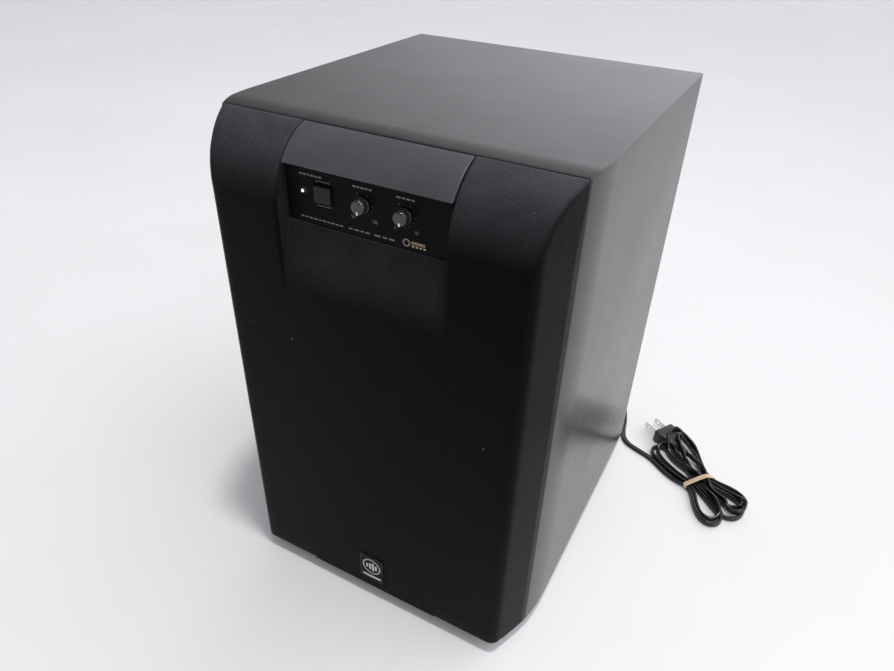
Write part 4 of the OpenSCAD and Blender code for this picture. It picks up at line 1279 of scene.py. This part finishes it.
def digits(b, text, x, z, size=1.7, width=0.3):
    w, step = size * 0.5, size * 0.75
    x -= (len(text) * step - (step - w)) / 2
    for ch in text:
        for x0, z0, x1, z1 in DIGITS[ch]:
            b.strip([(x + x0 * w, z + z0 * size / 2), (x + x1 * w, z + z1 * size / 2)],
                    width, INK_Y, INK_UP)
        x += step


def dashes(b, x0, x1, z, height, pattern):
    """A worded label turned into a row of plain bars of different lengths."""
    gap = 0.45
    k = (x1 - x0) / (sum(pattern) + gap * (len(pattern) - 1))
    for length in pattern:
        b.strip([(x0 + 0.12, z), (x0 + length * k - 0.12, z)], height, INK_Y, INK_UP)
        x0 += (length + gap) * k


def build_labels():
    b = Build()
    for x0, x1, z, height, pattern in (
            (-44, -29, 336.3, 1.0, (1, 1.2, 0.8, 1.3, 0.9, 1.1)),
            (-8.0, 4.0, 336.3, 1.0, (1.1, 0.8, 1.2, 0.9, 1.0)),
            (19.5, 30.5, 336.3, 1.0, (1.2, 0.9, 1.1, 0.8)),
            (-45, -16, 310.6, 0.75, (1.2, 0.8, 1.1, 1.4, 0.9, 1.2, 0.7, 1.3, 1.0, 1.1)),
            (-12, 2, 310.6, 0.75, (1.0, 1.3, 0.8, 1.2)),
            (5, 18, 310.6, 0.9, (1.4, 1.0, 1.2))):
        dashes(b, x0, x1, z, height, pattern)
    # Bracket marks above and below the button
    for sgn in (1, -1):
        z, side = CONTROL_Z + sgn * 7.2, 4.4
        b.strip([(BUTTON_X - side, z - sgn * 0.8), (BUTTON_X - side, z), (BUTTON_X + side, z),
                 (BUTTON_X + side, z - sgn * 0.8)], 0.3, INK_Y, INK_UP)
    o = b.make("panel_print", INK, "cabinet", smooth=False)
    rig.slot(o, "panel_black")
    # Scales round the knobs, from -150 to 150 degrees, and numbers at their ends
    b = Build()
    for x in KNOB_X.values():
        for k in range(11):
            a = math.radians(-90 - 150 + 30 * k)
            b.strip([(x + r * math.cos(a), CONTROL_Z + r * math.sin(a))
                     for r in (6.1, 7.2 if k % 5 == 0 else 6.6)], 0.26, INK_Y, INK_UP)
    for text, x in (("50", -8.6), ("150", 5.4), ("0", 18.6), ("10", 31.6)):
        digits(b, text, x, 317.6)
    o = b.make("panel_scales", FAINT, "cabinet", smooth=False)
    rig.slot(o, "panel_black")
    # A plain mark: a ring, two lines and a row of dots
    g = Build()
    x, z, up = 25.5, 311.4, 0.04
    g.strip(circle(x, z, 1.9, 25), 0.75, INK_Y, up)
    for rise, width in ((1.1, 0.5), (0.1, 0.35)):
        g.strip([(x + 3.2, z + rise), (x + 11.5, z + rise)], width, INK_Y, up)
    for k in range(4):
        g.strip([(x + 3.6 + 2.4 * k, z - 1.3), (x + 4.7 + 2.4 * k, z - 1.3)], 0.9, INK_Y, up)
    m = g.make("panel_mark", GOLD_INK, "cabinet", smooth=False)
    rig.slot(m, "panel_black")


build_labels()


def build_badge():
    """Square dark plate with a thin rim, and a generic mark: a ring round four level bars,
    over a row of bars."""
    z0, half, y, up = 19.8, 10.4, FRONT_Y - 0.44, 0.14
    b = Build()
    b.box(-half, half, FRONT_Y - 0.45, FRONT_Y, z0, z0 + 26.6)
    o = b.make("badge_plate", BADGE_BLACK, "grille", bevel_w=0.00022, seg=3)
    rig.replaces(o, "badge")
    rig.slot(o, "badge_silver")
    r = Build()
    low, high, side = z0 + 0.6, z0 + 26.0, 9.8
    r.strip([(-side, low), (side, low), (side, high), (-side, high), (-side, low)], 0.3, y, up)
    rim = r.make("badge_rim", SCREW, "grille", smooth=False)
    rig.slot(rim, "badge_silver")
    g = Build()
    z = z0 + 15.4
    g.strip(circle(0, z, 7.4, 41), 1.3, y, up)
    for x, h in ((-3.9, 3.2), (-1.3, 6.0), (1.3, 8.4), (3.9, 4.8)):
        g.strip([(x, z - h / 2), (x, z + h / 2)], 1.7, y, up)
    for k in range(6):
        g.strip([(-7.6 + 2.7 * k, z0 + 4.0), (-5.8 + 2.7 * k, z0 + 4.0)], 2.2, y, up)
    m = g.make("badge_mark", BADGE, "grille", smooth=False)
    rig.slot(m, "badge_silver")


build_badge()

# ---- carried-over nodes with finer materials
PCB = moulded("circuit_board", (0.03, 0.14, 0.05), 0.35, 0.00002, 1500, 0.25)
POT = brushed("pot_metal", (0.55, 0.56, 0.58), 0.35)
SWITCH = moulded("switch_plastic", (0.62, 0.62, 0.58), 0.5, 0.00003, 1800, 0.1)
BASKET = moulded("basket_paint", (0.03, 0.031, 0.034), 0.5, 0.0001, 1300, 0.12, wear=0.2)
FERRITE = moulded("ferrite", (0.05, 0.05, 0.052), 0.7, 0.0001, 700, 0.2)
STEEL = brushed("plate_steel", (0.55, 0.56, 0.58), 0.3, (30, 30, 1))
SHIELD = brushed("shield_steel", (0.45, 0.46, 0.48), 0.35, (30, 30, 1))
IRON = moulded("transformer_iron", (0.16, 0.13, 0.09), 0.5, 0.00008, 900, 0.2, metal=0.5)
CAPS = moulded("capacitor_sleeve", (0.02, 0.035, 0.09), 0.25, 0.00001, 1500, 0.15, coat=0.4)
JACK = brushed("jack_gold", (0.80, 0.58, 0.24), 0.25, (30, 1, 30))
TERMINAL = moulded("terminal_plastic", (0.014, 0.014, 0.015), 0.4, 0.00003, 1800, 0.12, wear=0.2)
PORT = moulded("port_plastic", (0.016, 0.016, 0.017), 0.42, 0.00003, 1800, 0.12)
PEG = moulded("peg_nylon", (0.55, 0.54, 0.50), 0.45, 0.00003, 1800, 0.08)
COIL = brushed("coil_copper", (0.62, 0.32, 0.16), 0.35, (1, 60, 1))
LEVER_RED = moulded("lever_red", (0.45, 0.02, 0.02), 0.38, 0.00002, 1800, 0.1, wear=0.1)
LEVER_BLACK = moulded("lever_black", (0.02, 0.02, 0.021), 0.4, 0.00002, 1800, 0.1, wear=0.1)
SHAFT = brushed("shaft_steel", (0.62, 0.62, 0.63), 0.25, (30, 1, 30))
GASKET = moulded("surround_rubber", (0.012, 0.012, 0.012), 0.5, 0.00004, 1200, 0.15, sheen=0.1)


def pulp():
    """Pressed paper cone: fibres and flock."""
    g = Graph("cone_pulp")
    fibre = g.noise(g.coord(scale=(1, 4, 1)), 700, 4, 0.7)
    flock = g.noise(g.coord(), 160, 4, 0.7)
    colour = g.mix(g.span(fibre, 0.3, 0.7, 0, 1), (0.012, 0.012, 0.013), (0.035, 0.035, 0.037))
    colour = g.mix(g.span(flock, 0.4, 0.7, 0, 0.5), colour, (0.05, 0.05, 0.052))
    return g.set(Base_Color=colour, Roughness=g.span(fibre, 0.3, 0.7, 0.6, 0.85),
                 Normal=g.bump(g.plus(fibre, flock), 0.00016, 0.7))


def woven(name, dark, light, pitch=0.0006):
    """Doped woven cloth on object coordinates."""
    g = Graph(name)
    v = g.coord()
    x, _, z = g.split(v)
    k = 2 * math.pi / pitch
    weave = g.weave(g.wave(x, k), g.wave(z, k))
    colour = g.mix(g.span(weave, 0, 1, 0, 1), dark, light)
    colour = g.mix(g.span(g.noise(v, 120, 3), 0.35, 0.7, 0, 0.4), colour, dark)
    return g.set(Base_Color=colour, Roughness=g.span(weave, 0, 1, 0.7, 0.5),
                 Normal=g.bump(weave, 0.00012, 0.6))


PULP = pulp()
CAP_CLOTH = woven("dust_cap_cloth", (0.008, 0.008, 0.009), (0.035, 0.035, 0.038))
SPIDER = woven("spider_cloth", (0.30, 0.15, 0.04), (0.62, 0.38, 0.14))
for mat, width, nodes in (
        (BOARD, 0.0005, "front_baffle"), (VINYL, 0.0006, "rear_panel"),
        (BARE, 0.0006, "cross_brace"), (RUBBER, 0.0006, "feet"), (ZINC, 0.0003, "foot_screws"),
        (PORT, 0.0, "port_tube"), (PCB, 0.0002, "control_board amp_board"),
        (ZINC, 0.0002, "control_screws"), (SWITCH, 0.0003, "switch_body"),
        (POT, 0.0002, "high_cut_pot volume_pot"), (GASKET, 0.0003, "grille_sockets basket_gasket"),
        (BASKET, 0.0005, "basket"), (FERRITE, 0.0006, "magnet"),
        (STEEL, 0.0004, "front_plate back_plate"), (SHIELD, 0.0005, "magnet_shield"),
        (PLATE, 0.0003, "amp_plate"), (FINS, 0.0003, "heat_sink"), (IRON, 0.0006, "transformer"),
        (CAPS, 0.0006, "capacitors"), (JACK, 0.00025, "input_jacks"),
        (TERMINAL, 0.0004, "terminal_block"), (FRAME, 0.0003, "grille_frame"),
        (PEG, 0.0004, "grille_pegs"), (SHAFT, 0.0002, "high_cut_shaft volume_shaft"),
        (PULP, 0.0, "cone"), (CAP_CLOTH, 0.0, "dust_cap"), (COIL, 0.0002, "voice_coil"),
        (GASKET, 0.0, "surround"), (SPIDER, 0.0, "spider"),
        (LEVER_RED, 0.0004, "lever_1 lever_3"), (LEVER_BLACK, 0.0004, "lever_2 lever_4")):
    for node in nodes.split():
        dress(node, mat, width)


# ---- screws, padding and rear details
def cross_screw(b, x, z, y, r, sgn, h=2.0):
    """Pan-head screw with a cross recess; sgn is +1 when its head points to +Y."""
    top, floor = h * 0.95, 0.35
    prof = [(0, 0), (r, 0), (r, h * 0.35), (r * 0.86, h * 0.75), (r * 0.6, top)]
    b.lathe(prof, (x, y, z), axis=(0, sgn, 0), n=24)
    a, arm = r * 0.17, r * 0.52
    cross = [(a, arm), (a, a), (arm, a), (arm, -a), (a, -a), (a, -arm), (-a, -arm), (-a, -a),
             (-arm, -a), (-arm, a), (-a, a), (-a, arm)]
    turn = [math.radians(75 - 30 * k) for k in range(12)]
    rim = [(r * 0.6 * math.cos(t), r * 0.6 * math.sin(t)) for t in turn]
    v = [(x + p, y + sgn * top, z + q) for p, q in rim + cross]
    v += [(x + p * 0.7, y + sgn * top * floor, z + q * 0.7) for p, q in cross]
    b.add(v, tube_faces(3, 12, caps=False) + [tuple(range(24, 36))])


AMP_Y, DRIVER_Z, DRIVER_R = 131.5, 190, 79
amp = Build()
for _x, _z in [(x, z) for x in (-74, 0, 74) for z in (44, 266)] + [
        (x, z) for x in (-74, 74) for z in (116, 194)]:
    cross_screw(amp, _x, _z, AMP_Y, 3.3, 1)
o = amp.make("amp_screw_heads", SCREW, "cabinet", angle=35)
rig.replaces(o, "amp_screws")
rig.slot(o, "black_screw")
driver = Build()
for _a in (math.radians(22.5 + 45 * k) for k in range(8)):
    cross_screw(driver, DRIVER_R * math.cos(_a), DRIVER_Z + DRIVER_R * math.sin(_a),
                SPLIT_Y - 4, 3.0, -1)
o = driver.make("driver_screw_heads", SCREW, "cabinet", angle=35)
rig.replaces(o, "basket_screws")
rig.slot(o, "black_screw")


def wool():
    g = Graph("padding_wool")
    fibre = g.noise(g.coord(scale=(1, 3, 1)), 420, 5, 0.75)
    tone = g.span(fibre, 0.3, 0.7, 0, 1)
    return g.set(Base_Color=g.mix(tone, (0.42, 0.40, 0.37), (0.80, 0.79, 0.75)),
                 Roughness=g.span(fibre, 0.3, 0.7, 0.8, 1.0), Normal=g.bump(fibre, 0.0012, 0.8),
                 Sheen_Weight=0.3)


def build_padding():
    """Lofted wadding pad: crowned in the middle, pulled in at its staples."""
    nx, ny = 46, 40
    top, low, high = 349, 335.2, 348.9
    wob = RNG.normal(0, 0.35, (2, nx + 1, ny + 1))[0]
    staples = [(a, b) for a in (0.1, 0.5, 0.9) for b in (0.1, 0.5, 0.9)]
    verts = []
    for side in (0, 1):
        for i in range(nx + 1):
            for j in range(ny + 1):
                u, v = i / nx * 2 - 1, j / ny * 2 - 1
                edge = (1 - abs(u) ** 6) * (1 - abs(v) ** 6)
                far = min((i / nx - a) ** 2 * 4 + (j / ny - b) ** 2 * 4 for a, b in staples)
                loft = 2.0 + 11.2 * edge ** 0.5 * (1 - 0.75 * math.exp(-far / 0.006))
                z = top if side else top - loft + float(wob[i, j]) * edge
                x = u * (91.5 - 1.5 * abs(v) ** 4 * (1 - side))
                y = 10 + v * (79.5 - 1.5 * abs(u) ** 4 * (1 - side))
                verts.append((x, y, max(low, min(high, z))))

    def at(s, i, j):
        return (s * (nx + 1) + i) * (ny + 1) + j

    faces = [(at(s, i, j), at(s, i + 1, j), at(s, i + 1, j + 1), at(s, i, j + 1))
             for s in (0, 1) for i in range(nx) for j in range(ny)]
    faces += [(at(0, i, j), at(0, i + 1, j), at(1, i + 1, j), at(1, i, j))
              for i in range(nx) for j in (0, ny)]
    faces += [(at(0, i, j), at(0, i, j + 1), at(1, i, j + 1), at(1, i, j))
              for j in range(ny) for i in (0, nx)]
    o = finish_mesh("wadding", verts, faces, wool(), "cabinet")
    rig.replaces(o, "acoustic_padding")
    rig.slot(o, "padding")
    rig.padded(o, fill=0.5)


build_padding()


def build_rear():
    """Frames and marks printed on the amplifier plate, and coloured rings at the inputs."""
    b = Build()

    def line(points, width):
        b.strip(points, width, AMP_Y + 0.01, -0.04, cap=0)

    def frame_line(x0, x1, z0, z1):
        line([(x0, z0), (x1, z0), (x1, z1), (x0, z1), (x0, z0)], 0.5)

    frame_line(28, 56, 101, 162)
    frame_line(-68, -8, 101, 145)
    line([(28, 140), (56, 140)], 0.4)
    for k in range(4):
        x = -38 + (k - 1.5) * 13
        line([(x - 2, 141), (x + 2, 141)], 0.6)
        if k % 2 == 0:
            line([(x, 139), (x, 143)], 0.6)
    for count, step, length, z, width in ((9, 4.2, 2.6, 176, 1.0), (6, 5.2, 3.4, 171, 0.8)):
        for k in range(count):
            x = -72 + step * k
            line([(x, z), (x + length, z)], width)
    line([(50, 62), (74, 62), (74, 38.8)], 0.4)
    x, z = 62, 69
    line(circle(x, z, 3, 25), 0.5)
    line([(x - 1.6, z), (x - 0.8, z + 1), (x, z), (x + 0.8, z - 1), (x + 1.6, z)], 0.45)
    o = b.make("amp_print", INK, "cabinet", smooth=False)
    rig.slot(o, "amp_paint")
    for z, mat, name in ((110, LEVER_RED, "low"), (128, WHITE, "mid"), (152, LEVER_BLACK, "top")):
        r = Build()
        r.lathe([(4.25, 1.45), (6.8, 1.45), (7.1, 1.7), (7.1, 2.6), (6.6, 3.1), (4.9, 3.2),
                 (4.3, 2.9), (4.25, 1.45)], (40, AMP_Y, z), axis=(0, 1, 0), n=40)
        o = r.make("jack_ring_" + name, mat, "cabinet", angle=40)
        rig.slot(o, "terminal_plastic")


build_rear()

# ---- extents of the CAD frame and of the dressed model, written to extents.json
for path, box in (("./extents.json", (CAD_BOX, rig.bounds())),):
    with open(path, "w") as f:
        json.dump({"cad": [[float(c) for c in p] for p in box[0]], "visual": [[float(c) for c in p] for p in box[1]]}, f)
